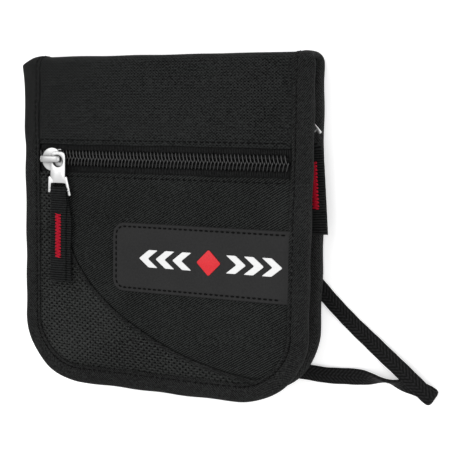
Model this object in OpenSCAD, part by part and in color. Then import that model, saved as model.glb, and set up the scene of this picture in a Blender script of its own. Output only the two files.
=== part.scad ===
/* [Pouch] */
// Width across the bindings
pouch_w = 146; // [140:1:150]
// Height from the bottom binding to the top fold
pouch_h = 155; // [150:1:158]
// Radius of the two bottom corners
corner_r = 32; // [28:1:34]
// Width of the edge binding tape on the face
binding_w = 9; // [8:0.5:10]
// Angle that the flap rests open, in degrees
flap_tilt = 3; // [2.8:0.1:3.4]

/* [Zips] */
// Height of the front zip's centre line below the top fold
front_zip_v = 47.9; // [46:0.1:50]
// Height of the inner zip's centre line above the middle of the pouch
inner_zip_y = 54; // [53:0.5:56]
// Half height of the slot in the fabric that shows the zip
slot_half = 6.3; // [6:0.1:7]
// Thickness of the zip coil
coil_t = 2.2; // [2:0.1:2.2]
// Length of the folded webbing on a pull
webbing_l = 43; // [38:1:46]
// Width of the webbing on a pull
webbing_w = 9; // [7:0.5:9]

/* [Badge] */
// Height of the rubber badge
badge_h = 32; // [26:1:34]
// Thickness of the rubber badge
badge_t = 1.3; // [0.8:0.1:1.4]

/* [Neck cord] */
// Width of the flat braid
cord_w = 7.5; // [6:0.5:8]
// Thickness of the flat braid
cord_t = 1.9; // [1.6:0.1:1.9]
// Outer radius of the cord wound under the pouch
coil_r = 51; // [46:1:51]

/* [Hidden] */

hw = pouch_w / 2;
hh = pouch_h / 2;
web = 2.5;             // width of the binding's outer wall
top_y = hh - 1.9;      // where the rear body's pieces end, below the fold
flap_z = 9.2;          // height of the flap's back face at the fold
flap_top = -2;         // where the flap's pieces start, below the fold
zip_half = 63.6;       // half length of the zips between the bindings
fabric = [0.13, 0.13, 0.14];
dark = [0.09, 0.09, 0.1];
rubber = [0.2, 0.2, 0.21];
nickel = [0.82, 0.82, 0.8];
red = [0.8, 0.06, 0.12];

// Outline of the pouch seen from the front, inset by d, cut off at y = t above the middle.
module outline(d = 0, t = 0) {
  w = hw - d;
  r = corner_r - d;
  b = -hh + d;
  union() {
    translate([-w, b + r]) square([2 * w, t - b - r]);
    translate([-w + r, b]) square([2 * (w - r), r + 0.01]);
    for (s = [-1, 1]) intersection() {
      translate([s * (w - r), b + r]) circle(r = r, $fn = 96);
      translate([s > 0 ? w - r : -w, b]) square([r, r + 0.01]);
    }
  }
}

// A flat sheet of the outline from height a to height b.
module sheet(d, t, a, b) {
  translate([0, 0, a]) linear_extrude(b - a) outline(d, t);
}

// The flap's own frame: y runs down from the fold, z out of its front.
module on_flap() {
  translate([0, hh, flap_z]) rotate([-flap_tilt, 0, 0]) children();
}

// U-shaped edge binding: outer wall, back leg and front leg.
module binding(z0, z1, leg_back, leg_front, t) {
  difference() {
    sheet(0, t, z0, z1);
    sheet(web, t + 1, leg_back, leg_front);
    sheet(binding_w, t + 1, z0 - 1, z1 + 1);
  }
}

// ---- rear body ----
module rear_binding() {
  color(dark) difference() {
    binding(0, 5.2, 2.3, 4.6, top_y);
    // channels for the neck cord
    translate([69, -23.5, -1]) rotate([0, 0, -45]) translate([-14, -6, 0]) cube([28, 12, 3.3]);
    translate([46, -70, -1]) cube([26, 9.5, 3.3]);
  }
}
module back_panel() { color(fabric) sheet(web, top_y, 2.3, 2.9); }
module rear_lining() { color([0.25, 0.25, 0.27]) sheet(web, top_y, 2.9, 3.2); }
module rear_upper_panel() {
  color(fabric) difference() {
    union() {
      translate([0, 0, 4.0]) linear_extrude(0.6) translate([-hw + web, 69]) square([2 * (hw - web), top_y - 69]);
      translate([0, 0, 4.0]) linear_extrude(0.6) for (s = [-1, 1]) translate([s > 0 ? 63.9 : -hw + web, inner_zip_y + slot_half]) square([hw - web - 63.9, 70 - inner_zip_y - slot_half]);
      translate([-63.9, inner_zip_y + slot_half, 5.6]) cube([127.8, 70 - inner_zip_y - slot_half, 0.6]);
      translate([-63.9, 69, 4.0]) cube([127.8, 1, 2.2]);
      for (s = [-1, 1]) translate([s > 0 ? 62.9 : -63.9, inner_zip_y + 8.4, 4.0]) cube([1, 61.6 - inner_zip_y, 2.2]);
    }
  }
}
// Pan shaped front of the rear compartment: flange in the binding, walls and raised face.
module rear_lower_panel() {
  lip = inner_zip_y - slot_half;
  color(fabric) union() {
    difference() { sheet(web, lip, 4.0, 4.6); sheet(12, lip + 1, 3.5, 5); }
    difference() {
      sheet(12, lip, 4.0, 6.2);
      sheet(12.8, lip + 1, 3.5, 7);
      translate([-80, inner_zip_y - 8.4, 3.5]) cube([160, 12, 2.1]);
    }
    difference() { sheet(12.8, lip, 5.6, 6.2); translate([0, 0, -40]) sheet(12.8, 36, 0, 80); }
    difference() { sheet(12, 36, 5.6, 8.1); sheet(12.8, 35.2, 5, 7.5); }
  }
}
module loop_patch() { color(dark) translate([-14, -52, 8.1]) cube([28, 16, 0.9]); }
module cord_tab_left() { color(dark) translate([-63.8, 60, 0.2]) cube([12, 15.4, 2.1]); }
module cord_tab_right() { color(dark) translate([51.8, 60, 0.2]) cube([12, 15.4, 2.1]); }

// ---- zips: x along the zip, y across, z = 0 on the tape ----
module tape(s, w) {
  color(dark) translate([-zip_half, s > 0 ? 0.5 : -w, -0.5]) cube([2 * zip_half, w - 0.5, 0.5]);
}
module coil(s) {
  color([0.07, 0.07, 0.07]) translate([-zip_half, s > 0 ? 0.5 : -3.6, 0]) cube([2 * zip_half, 3.1, coil_t]);
}
// Slider plate, round end towards -x, 13.6 long and 11 wide.
module slider_plate() {
  union() {
    translate([-1.1, 0]) circle(r = 5.5, $fn = 48);
    translate([-1.1, -4.7]) square([8.1, 9.4]);
  }
}
module slider() {
  color(nickel) union() {
    translate([0, 0, -1.6]) linear_extrude(0.8) slider_plate();
    translate([0, 0, coil_t + 0.3]) linear_extrude(0.9) slider_plate();
    translate([-5.8, -0.2, -1.2]) cube([3.4, 0.4, coil_t + 1.8]);
    for (s = [-1, 1]) translate([1, s > 0 ? 3.9 : -4.7, 1.0]) cube([6, 0.8, coil_t - 0.4]);
  }
}
crown_z = coil_t + 3.4;
module crown() {
  color(nickel) union() {
    translate([-5, 0, crown_z - 0.5]) linear_extrude(1.3) union() {
      translate([0, -1.5]) square([8.4, 3]);
      for (x = [0, 8.4]) translate([x, 0]) circle(r = 1.5, $fn = 32);
    }
    translate([-4.9, 0, coil_t + 1.2]) cylinder(r = 1.2, h = 2, $fn = 24);
    translate([3.9, 0, coil_t + 1.2]) cylinder(r = 0.8, h = 2, $fn = 24);
  }
}
// Puller hanging along -y from a crown foot at the origin.
puller_z = coil_t + 1.5;
bar_y = 15.2;
module puller() {
  color(nickel) union() {
    difference() {
      translate([0, 0, puller_z]) linear_extrude(0.9) union() {
        translate([0, -0.8]) circle(r = 4, $fn = 48);
        translate([-4, -10.5]) square([8, 9.7]);
      }
      translate([0, -1, puller_z - 1]) cylinder(r = 2.5, h = 3, $fn = 48);
    }
    for (s = [-1, 1]) translate([0, 0, puller_z]) linear_extrude(0.9)
      polygon([[s * 4, -6.5], [s * 5.2, -6.5], [s * 6.3, -16.6], [s * 4.9, -16.6], [s * 4, -9.8], [s * 2.5, -9.8], [s * 2.5, -9]]);
    translate([-5.2, -bar_y, puller_z + 0.45]) rotate([0, 90, 0]) cylinder(r = 0.7, h = 10.4, $fn = 24);
  }
}
// Webbing folded round the puller's bar, hanging along -y.
module webbing() {
  difference() {
    translate([-4.5, -bar_y, puller_z + 0.45]) rotate([0, 90, 0]) union() {
      cylinder(r = 1.6, h = webbing_w, $fn = 32);
      translate([-0.45, -webbing_l, 0]) cube([1.8, webbing_l, webbing_w]);
    }
    translate([-8, -bar_y, puller_z + 0.45]) rotate([0, 90, 0]) cylinder(r = 1, h = 20, $fn = 32);
  }
}
module bartack() {
  color(red) translate([-1.7, -bar_y - 32, puller_z + 0.9]) cube([3.4, 21.5, 0.4]);
}

module on_inner_zip() { translate([0, inner_zip_y, 5.6]) children(); }
module inner_zip_tape_upper() { on_inner_zip() tape(1, 8); }
module inner_zip_tape_lower() { on_inner_zip() tape(-1, 8); }
module inner_zip_coil_upper() { on_inner_zip() coil(1); }
module inner_zip_coil_lower() { on_inner_zip() coil(-1); }
inner_x = 54.4;        // middle of the inner slider, closed
inner_swing = 35;      // how far the inner pull hangs to the right
module on_inner_slider() { on_inner_zip() translate([inner_x, 0, 0]) rotate([0, 0, 180]) children(); }
module on_inner_pull() { on_inner_zip() translate([inner_x + 4.9, 0, 0]) rotate([0, 0, inner_swing]) children(); }
module inner_slider() { on_inner_slider() slider(); }
module inner_slider_crown() { on_inner_slider() crown(); }
module inner_puller() { on_inner_pull() puller(); }
// The webbing swings back on the bar so that it hangs straight down.
module on_inner_webbing() { on_inner_pull() translate([0, -bar_y, 0]) rotate([0, 0, -inner_swing]) translate([2.2, bar_y, 0]) children(); }
module inner_pull_webbing() { color(dark) on_inner_webbing() webbing_tail(); }
module inner_pull_bartack() { on_inner_webbing() bartack(); }
// The inner webbing: a loop gathered on the bar, a narrow neck between the prongs and the full width tail.
module webbing_tail() {
  difference() {
    union() {
      translate([-2.2, -bar_y, puller_z + 0.45]) rotate([0, 0, inner_swing]) translate([-2.5, 0, 0]) rotate([0, 90, 0]) cylinder(r = 2, h = 5, $fn = 32);
      translate([-4.2, -bar_y - 6, puller_z - 0.9]) cube([4, 5, 1.8]);
      translate([-4.5, -bar_y - webbing_l, puller_z - 0.9]) cube([webbing_w, webbing_l - 5.5, 1.8]);
    }
    translate([-2.2, -bar_y, puller_z + 0.45]) rotate([0, 0, inner_swing]) translate([-12, 0, 0]) rotate([0, 90, 0]) cylinder(r = 1.4, h = 24, $fn = 32);
  }
}

// ---- spine: the strip of fabric between the rear body and the flap ----
module spine_cover() { color(fabric) translate([-70, hh - 0.7, 3.9]) cube([140, 0.8, 9.1]); }
module spine_lining() { color([0.25, 0.25, 0.27]) translate([-68, hh - 1.2, 4.2]) cube([136, 0.5, 8.6]); }

// ---- flap ----
fz = -front_zip_v;     // zip line in the flap's frame
module f_sheet(d, a, b) { translate([0, -hh, 0]) sheet(d, hh + flap_top, a, b); }
module f_band(top, bottom, a, b) { translate([-100, bottom, a]) cube([200, top - bottom, b - a]); }
curve_x = 41;          // centre and radius of the curved seam
curve_v = -43.5;
curve_r = 98;
module flap_upper_panel() {
  color(fabric) on_flap() intersection() {
    f_sheet(web, 6, 6.8);
    f_band(0, fz + slot_half, 5, 8);
  }
}
module flap_lower_panel() {
  color(fabric) on_flap() intersection() {
    f_sheet(web, 6, 6.8);
    f_band(fz - slot_half, -200, 5, 8);
    translate([curve_x, curve_v, 5]) cylinder(r = curve_r, h = 3, $fn = 180);
  }
}
module mesh_insert() {
  color([0.16, 0.16, 0.17]) on_flap() difference() {
    intersection() {
      f_sheet(web, 6, 6.8);
      f_band(fz - slot_half, -200, 5, 8);
    }
    translate([curve_x, curve_v, 5]) cylinder(r = curve_r, h = 3, $fn = 180);
  }
}
module insert_piping() {
  color(dark) on_flap() intersection() {
    f_sheet(binding_w, 6.8, 7.5);
    f_band(fz - slot_half, -200, 6, 8);
    translate([curve_x, curve_v, 6]) difference() {
      cylinder(r = curve_r + 1.6, h = 3, $fn = 180);
      translate([0, 0, -1]) cylinder(r = curve_r, h = 5, $fn = 180);
    }
  }
}
// Back of the front pocket: flange in the binding and a shallow pan behind the pocket.
module flap_backing() {
  color([0.2, 0.2, 0.22]) on_flap() difference() {
    union() {
      f_sheet(web, 2.2, 2.8);
      intersection() { f_sheet(12, 0, 2.8); f_band(-58, -200, -1, 4); }
    }
    intersection() { f_sheet(12.8, 0.8, 4); f_band(-58.8, -200, -1, 5); }
  }
}
module flap_binding() { color(dark) on_flap() translate([0, -hh, 0]) binding(1.4, 7.4, 2.2, 6.8, hh + flap_top); }
module hook_patch() { color(dark) on_flap() translate([-14, -130, -0.9]) cube([28, 16, 0.9]); }

module on_front_zip() { on_flap() translate([0, fz, 6]) children(); }
module front_zip_tape_upper() { on_front_zip() tape(1, 12); }
module front_zip_tape_lower() { on_front_zip() tape(-1, 12); }
module front_zip_coil_upper() { on_front_zip() coil(1); }
module front_zip_coil_lower() { on_front_zip() coil(-1); }
front_x = -54.4;       // middle of the front slider, closed
module on_front_slider() { on_front_zip() translate([front_x, 0, 0]) children(); }
module front_slider() { on_front_slider() slider(); }
module front_slider_crown() { on_front_slider() crown(); }
module on_front_pull() { on_front_slider() translate([3.9, 0, 0]) children(); }
module front_puller() { on_front_pull() puller(); }
module front_pull_webbing() { color(dark) on_front_pull() webbing(); }
module front_pull_bartack() { on_front_pull() bartack(); }

badge_x = -22.9;
badge_v = -76.6;
badge_l = hw - binding_w - badge_x;
module badge() {
  r = 6;
  color(rubber) on_flap() translate([badge_x, badge_v - badge_h, 6.8]) linear_extrude(badge_t) union() {
    translate([r, 0]) square([badge_l - r, badge_h]);
    translate([0, r]) square([r + 0.01, badge_h - 2 * r]);
    for (y = [r, badge_h - r]) translate([r, y]) circle(r = r, $fn = 48);
  }
}
badge_mid = badge_v - badge_h / 2;
module chevron(s) {
  polygon([[0, 0], [s * 4.5, 0], [s * 9.5, 4], [s * 4.5, 8], [0, 8], [s * 5, 4]]);
}
module badge_chevrons() {
  color("white") on_flap() translate([0, badge_mid - 4, 6.8 + badge_t]) linear_extrude(0.4) {
    for (i = [0 : 2]) translate([18 - 8.5 * i, 0]) chevron(-1);
    for (i = [0 : 2]) translate([35 + 8.5 * i, 0]) chevron(1);
  }
}
module badge_diamond() {
  color(red) on_flap() translate([26.5, badge_mid, 6.8 + badge_t]) linear_extrude(0.4) rotate(45) square([8.4, 8.4], center = true);
}

// ---- neck cord: a flat braid swept along points [x, y, z, roll] ----
function cat(a, b, c, d, t) = 0.5 * ((2 * b) + (c - a) * t + (2 * a - 5 * b + 4 * c - d) * t * t + (3 * b - a - 3 * c + d) * t * t * t);
function route(p, n) = [for (i = [0 : len(p) - 2]) for (k = [0 : n - 1])
  cat(p[max(i - 1, 0)], p[i], p[i + 1], p[min(i + 2, len(p) - 1)], k / n), p[len(p) - 1]];
function xyz(p) = [p[0], p[1], p[2]];
function unit(v) = v / norm(v);
function ring(p, d) =
  let (side0 = unit(cross(d, [0, 0, 1])), up0 = cross(side0, d), a = p[3],
       s = side0 * cos(a) + up0 * sin(a), u = up0 * cos(a) - side0 * sin(a), w = cord_w / 2, t = cord_t / 2)
  [for (q = [[w, t * 0.45], [w * 0.82, t], [-w * 0.82, t], [-w, t * 0.45], [-w, -t * 0.45], [-w * 0.82, -t], [w * 0.82, -t], [w, -t * 0.45]])
    xyz(p) + s * q[0] + u * q[1]];
module braid(points, n) {
  r = route(points, n);
  m = len(r);
  rings = [for (i = [0 : m - 1]) ring(r[i], unit(xyz(r[min(i + 1, m - 1)]) - xyz(r[max(i - 1, 0)])))];
  color([0.06, 0.06, 0.06]) polyhedron(
    points = [for (g = rings) each g],
    faces = concat(
      [for (i = [0 : m - 2]) for (k = [0 : 7]) each [
        [8 * i + k, 8 * i + (k + 1) % 8, 8 * (i + 1) + (k + 1) % 8],
        [8 * i + k, 8 * (i + 1) + (k + 1) % 8, 8 * (i + 1) + k]]],
      [[for (k = [7 : -1 : 0]) k]],
      [[for (k = [0 : 7]) 8 * (m - 1) + k]]),
    convexity = 10);
}
cord_out = [[58, 59.9, 1.1, 0], [58, 45, 1.1, 0], [57, 25, 1.1, 0], [57, 5, 1.1, 0], [60, -10, 1.1, 0], [66, -20, 1.1, 0],
  [73, -28, 1.1, 0], [81, -36, 1.1, 0], [88.3, -43, 1.6, 0], [94.5, -48.3, 2.5, 0], [101.5, -54.2, 3.6, 0], [108.6, -59.7, 4.5, 0], [114.6, -64.2, 5, 0], [121.6, -69, 5.1, 0]];
cord_back = [[121.6, -69, 1.1, 0], [115.5, -66.5, 1.6, -10], [109, -65.8, 2.8, -40], [103.5, -64.8, 4.1, -80], [97.5, -63.9, 3.5, -55], [91.5, -63.8, 1.9, -16],
  [84, -64.4, 1.1, 0], [75, -65.2, 1.1, 0], [66, -65.4, 1.1, 0], [52, -64.6, 1.1, 0], [38, -62.5, 1.1, 0], [20, -58, 1.1, 0], [8, -54.6, 1.1, 0]];
cord_left = [[-58, 59.9, 1.1, 0], [-58, 54, 1.1, 0], [-52, 47.5, 1.1, 0], [-42, 44, 1.1, 0], [-30, 43, 1.1, 0], [-20, 42, 1.1, 0]];
module neck_cord_out() { braid(cord_out, 2); }
// The braid turned back on itself at the far end of the loop.
bight_r = 2;
module neck_cord_bight() {
  color([0.06, 0.06, 0.06]) translate([121.6, -69, 3.1]) rotate([90, 0, -31]) translate([0, 0, -cord_w / 2])
    rotate([0, 0, -90]) rotate_extrude(angle = 180, $fn = 48) translate([bight_r - cord_t / 2, 0]) square([cord_t, cord_w]);
}
module neck_cord_back() { braid(cord_back, 2); }
module neck_cord_left() { braid(cord_left, 2); }
module neck_cord_coil() { color([0.06, 0.06, 0.06]) translate([-6, -6, 0.1]) cylinder(r = coil_r, h = 1.95, $fn = 96); }

back_panel();
rear_binding();
rear_lining();
rear_upper_panel();
rear_lower_panel();
inner_zip_tape_upper();
inner_zip_tape_lower();
inner_zip_coil_upper();
inner_zip_coil_lower();
loop_patch();
cord_tab_left();
cord_tab_right();
neck_cord_out();
neck_cord_bight();
neck_cord_back();
neck_cord_left();
neck_cord_coil();
spine_cover();
spine_lining();
flap_upper_panel();
flap_lower_panel();
mesh_insert();
insert_piping();
flap_backing();
flap_binding();
front_zip_tape_upper();
front_zip_tape_lower();
front_zip_coil_upper();
front_zip_coil_lower();
badge();
badge_chevrons();
badge_diamond();
hook_patch();
front_slider();
front_slider_crown();
front_puller();
front_pull_webbing();
front_pull_bartack();
inner_slider();
inner_slider_crown();
inner_puller();
inner_pull_webbing();
inner_pull_bartack();
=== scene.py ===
import bpy, bmesh, math
import numpy as np
from mathutils import Matrix, Vector


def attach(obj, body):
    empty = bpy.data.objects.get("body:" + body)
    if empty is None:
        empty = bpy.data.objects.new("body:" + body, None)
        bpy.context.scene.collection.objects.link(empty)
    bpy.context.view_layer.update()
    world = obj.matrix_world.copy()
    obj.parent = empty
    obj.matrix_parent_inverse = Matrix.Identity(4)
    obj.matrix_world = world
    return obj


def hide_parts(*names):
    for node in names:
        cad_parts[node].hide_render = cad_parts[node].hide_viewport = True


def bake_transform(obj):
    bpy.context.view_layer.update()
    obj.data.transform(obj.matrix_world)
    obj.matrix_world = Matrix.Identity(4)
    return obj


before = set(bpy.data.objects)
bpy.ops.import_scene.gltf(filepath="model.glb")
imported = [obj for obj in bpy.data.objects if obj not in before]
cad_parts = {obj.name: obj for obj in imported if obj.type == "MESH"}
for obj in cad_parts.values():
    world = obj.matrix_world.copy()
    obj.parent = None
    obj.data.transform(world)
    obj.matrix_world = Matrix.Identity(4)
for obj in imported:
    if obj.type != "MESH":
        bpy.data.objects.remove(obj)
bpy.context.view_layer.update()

MM = 0.001
TILT = math.radians(3.0)
CT, ST = math.cos(TILT), math.sin(TILT)
HW, HH = 73.0, 77.5
FZ = -47.9            # front zip line in the flap's frame
IZ = 54.0             # inner zip line

# ------------------------------------------------------------------ camera
cam_data = bpy.data.cameras.new("camera")
cam_data.lens, cam_data.sensor_width = 80.0, 36.0
cam = bpy.data.objects.new("camera", cam_data)
bpy.context.collection.objects.link(cam)
R = (Matrix.Rotation(math.radians(0.37461828), 3, "Z") @ Matrix.Rotation(math.radians(7.76235314), 3, "X")
     @ Matrix.Rotation(math.radians(-24.52351044), 3, "Y"))
cam.matrix_world = Matrix.Translation((0.21420453, 0.06182659, 0.41598354)) @ R.transposed().to_4x4()
bpy.context.scene.camera = cam


# ------------------------------------------------------------------ maths helpers (millimetres)
def smooth(a, b, x):
    t = np.clip((np.asarray(x, float) - a) / (b - a), 0, 1)
    return t * t * (3 - 2 * t)


def cr(p, n):
    """Catmull-Rom through the rows of p, n steps a span."""
    p = np.asarray(p, float)
    out = []
    for i in range(len(p) - 1):
        a, b, c, d = p[max(i - 1, 0)], p[i], p[i + 1], p[min(i + 2, len(p) - 1)]
        for k in range(n):
            t = k / n
            out.append(0.5 * (2 * b + (c - a) * t + (2 * a - 5 * b + 4 * c - d) * t * t + (3 * b - a - 3 * c + d) * t ** 3))
    out.append(p[-1])
    return np.array(out)


def resample(p, step, cols=3):
    """Rows of p at even steps along the line that its first columns draw."""
    p = np.asarray(p, float)
    keep = np.r_[True, np.linalg.norm(np.diff(p[:, :cols], axis=0), axis=1) > 1e-9]
    p = p[keep]
    s = np.r_[0, np.cumsum(np.linalg.norm(np.diff(p[:, :cols], axis=0), axis=1))]
    n = max(2, int(round(s[-1] / step)) + 1)
    q = np.linspace(0, s[-1], n)
    return np.stack([np.interp(q, s, p[:, k]) for k in range(p.shape[1])], 1), q


def unit(v):
    v = np.asarray(v, float)
    return v / np.maximum(np.linalg.norm(v, axis=-1, keepdims=True), 1e-12)


def rumple(x, y, seed, scale):
    """Smooth fixed unevenness from -1 to 1."""
    r = np.random.RandomState(seed)
    out = 0
    for _ in range(7):
        a, f, ph = r.rand() * 6.283, (0.5 + r.rand()) / scale, r.rand() * 6.283
        out = out + np.sin(6.283 * f * (x * math.cos(a) + y * math.sin(a)) + ph)
    return out / 4.5


def mat4(rows):
    m = np.eye(4)
    m[:3] = rows
    return m


def shift(x, y, z):
    m = np.eye(4)
    m[:3, 3] = (x, y, z)
    return m


def turn(deg):
    m = np.eye(4)
    a = math.radians(deg)
    m[:2, :2] = [[math.cos(a), -math.sin(a)], [math.sin(a), math.cos(a)]]
    return m


def tf(m, p):
    p = np.asarray(p, float)
    return p @ m[:3, :3].T + m[:3, 3]


FLAP = mat4([[1, 0, 0, 0], [0, CT, ST, HH], [0, -ST, CT, 9.2]])
FRONT_ZIP = FLAP @ shift(0, FZ, 6)
INNER_ZIP = shift(0, IZ, 5.6)
FRONT_SLIDER = FRONT_ZIP @ shift(-54.4, 0, 0)
FRONT_PULL = FRONT_SLIDER @ shift(3.9, 0, 0)
INNER_SLIDER = INNER_ZIP @ shift(54.4, 0, 0) @ turn(180)
INNER_PULL = INNER_ZIP @ shift(59.3, 0, 0) @ turn(35)
LEAN = 3.5
INNER_WEB = INNER_PULL @ shift(0, -15.2, 0) @ turn(LEAN - 35) @ shift(2.2, 15.2, 0)


def warp(x, v):
    """The flap's outline isn't quite straight: the sides draw in a little and the lower edge bows."""
    x, v = np.asarray(x, float), np.asarray(v, float)
    y = v + HH
    k = smooth(38, -20, y)
    x2 = x * (1 - 0.006 * k) - 0.5 * smooth(-40, -60, x) * smooth(34, 44, y) * smooth(79, 70, y)
    low = smooth(-35, -77, y)
    return x2, v + low * (0.2 + 1.2 * np.clip(x / 62, 0, 1.2) ** 2 - 0.5 * np.clip(-x / 62, 0, 1.2) ** 2)


def rear_warp(x, y):
    """The rear body draws in a little at its lower right corner."""
    k = smooth(-10, -55, y) * smooth(20, 60, x)
    return x - 1.1 * k, y + 0.5 * smooth(-45, -75, y) * smooth(-20, 50, x)


def on_flap(x, v, w):
    x, v = warp(x, v)
    return tf(FLAP, np.stack(np.broadcast_arrays(x, v, w), -1))


# ------------------------------------------------------------------ mesh helpers
def grid_faces(n, m, cn=False, cm=False):
    i, j = np.arange(n if cn else n - 1), np.arange(m if cm else m - 1)
    i, j = np.meshgrid(i, j, indexing="ij")
    a, b = i * m + j, ((i + 1) % n) * m + j
    c, d = ((i + 1) % n) * m + (j + 1) % m, i * m + (j + 1) % m
    return np.stack([a, b, c, d], -1).reshape(-1, 4)


class Geo:
    def __init__(self):
        self.v, self.f, self.uv, self.n = [], [], [], 0

    def add(self, v, f, uv=None):
        v = np.asarray(v, float).reshape(-1, 3)
        uv = v[:, :2] if uv is None else np.asarray(uv, float).reshape(-1, 2)
        self.v.append(v)
        self.uv.append(uv)
        self.f += [tuple(int(i) + self.n for i in q) for q in f]
        self.n += len(v)
        return self

    def slab(self, top, bottom, uv):
        """A closed sheet between two grids."""
        n, m = top.shape[:2]
        t = grid_faces(n, m)
        edge = [i for i in range(m)] + [i * m + m - 1 for i in range(1, n)] + [(n - 1) * m + j for j in range(m - 2, -1, -1)] + [i * m for i in range(n - 2, 0, -1)]
        e = np.array(edge)
        e2 = np.roll(e, -1)
        side = np.stack([e, e2, e2 + n * m, e + n * m], -1)
        f = np.concatenate([t, t[:, ::-1] + n * m, side[:, ::-1]])
        return self.add(np.concatenate([top.reshape(-1, 3), bottom.reshape(-1, 3)]), f, np.concatenate([uv.reshape(-1, 2)] * 2))

    def loft(self, rings, uv=None, closed=False):
        """A tube through rings of equal length, capped unless closed."""
        rings = np.asarray(rings, float)
        n, m = rings.shape[:2]
        f = [tuple(q) for q in grid_faces(n, m, closed, True)]
        if not closed:
            f += [tuple(range(m - 1, -1, -1)), tuple(range((n - 1) * m, n * m))]
        return self.add(rings, f, uv)

    def tube(self, path, radius, sides=8, flat=1.0, up=(0, 0, 1)):
        path = np.asarray(path, float)
        d = unit(np.gradient(path, axis=0))
        up = np.broadcast_to(np.asarray(up, float), d.shape)
        s = np.cross(d, up)
        bad = np.linalg.norm(s, axis=1) < 0.15
        if bad.any():
            s[bad] = np.cross(d[bad], np.broadcast_to((0.0, 1.0, 0.02), d[bad].shape))
        s = unit(s)
        for i in range(1, len(s)):
            if s[i] @ s[i - 1] < 0:
                s[i] = -s[i]
        u = np.cross(s, d)
        r = np.broadcast_to(np.asarray(radius, float), (len(path),))[:, None, None]
        a = np.linspace(0, 2 * math.pi, sides, endpoint=False)[None, :, None]
        rings = path[:, None] + r * (np.cos(a) * s[:, None] + flat * np.sin(a) * u[:, None])
        return self.loft(rings)

    def plate(self, outline, z0, z1, r, m=None, dome=0.0, steps=3):
        """An outline extruded from z0 to z1 with rounded edges of radius r."""
        o = np.asarray(outline, float)
        if np.sum(o[:, 0] * np.roll(o[:, 1], -1) - np.roll(o[:, 0], -1) * o[:, 1]) < 0:
            o = o[::-1]
        e1, e2 = unit(o - np.roll(o, 1, 0)), unit(np.roll(o, -1, 0) - o)
        n1, n2 = np.stack([-e1[:, 1], e1[:, 0]], 1), np.stack([-e2[:, 1], e2[:, 0]], 1)
        nn = unit(n1 + n2)
        nn = nn / np.maximum((nn * n1).sum(1, keepdims=True), 0.5)
        prof = [(r * (1 - math.sin(t)), z0 + r * (1 - math.cos(t))) for t in np.linspace(0, math.pi / 2, steps + 1)]
        prof += [(r * (1 - math.cos(t)), z1 - r * (1 - math.sin(t))) for t in np.linspace(0, math.pi / 2, steps + 1)]
        c = o.mean(0)
        rings = [np.c_[o + nn * d, np.full(len(o), z)] for d, z in prof]
        if dome:
            top = rings[-1][:, :2]
            for k in (0.85, 0.65, 0.4, 0.15):
                rings.append(np.c_[c + (top - c) * k, np.full(len(o), z1 + dome * (1 - k * k))])
        rings = np.array(rings)
        return self.loft(rings if m is None else tf(m, rings))

    def stitch(self, p, t, n, length, r=0.2, arch=0.12, sink=0.0):
        """One thread stitch for each row of p, along t, standing on normal n."""
        p, t, n = (np.asarray(q, float).reshape(-1, 3) for q in (p, t, n))
        k = np.array([-1, -0.86, -0.45, 0, 0.45, 0.86, 1])
        rad = r * np.array([0.25, 0.75, 1, 1, 1, 0.75, 0.25])
        hgt = arch * (1 - k * k) - 1.2 * r * np.abs(k) ** 4 - sink
        a = np.linspace(0, 2 * math.pi, 6, endpoint=False)
        for q, d, u in zip(p, t, n):
            d = unit(d)
            u = unit(u - d * (u @ d))
            s = np.cross(d, u)
            c = q + np.outer(k * length / 2, d) + np.outer(hgt, u)
            self.loft(c[:, None] + rad[:, None, None] * (np.cos(a)[None, :, None] * s + np.sin(a)[None, :, None] * u))
        return self

    def make(self, name, material, body=None, nodes=(), slot=None, blend=None, smooth_angle=None, up_check=True):
        v = np.concatenate(self.v) * MM
        uv = np.concatenate(self.uv)
        me = bpy.data.meshes.new(name)
        me.from_pydata(v.tolist(), [], self.f)
        layer = me.uv_layers.new(name="wv")
        li = np.zeros(len(me.loops), np.int32)
        me.loops.foreach_get("vertex_index", li)
        layer.data.foreach_set("uv", uv[li].astype(np.float32).ravel())
        bm = bmesh.new()
        bm.from_mesh(me)
        bmesh.ops.recalc_face_normals(bm, faces=bm.faces)
        bm.to_mesh(me)
        bm.free()
        me.polygons.foreach_set("use_smooth", [True] * len(me.polygons))
        if smooth_angle:
            me.set_sharp_from_angle(angle=math.radians(smooth_angle))
        me.materials.append(material)
        o = bpy.data.objects.new(name, me)
        bpy.context.collection.objects.link(o)
        if blend:
            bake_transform(o)
        else:
            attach(o, body)
        if nodes:
            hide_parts(*nodes)
        return o


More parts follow.
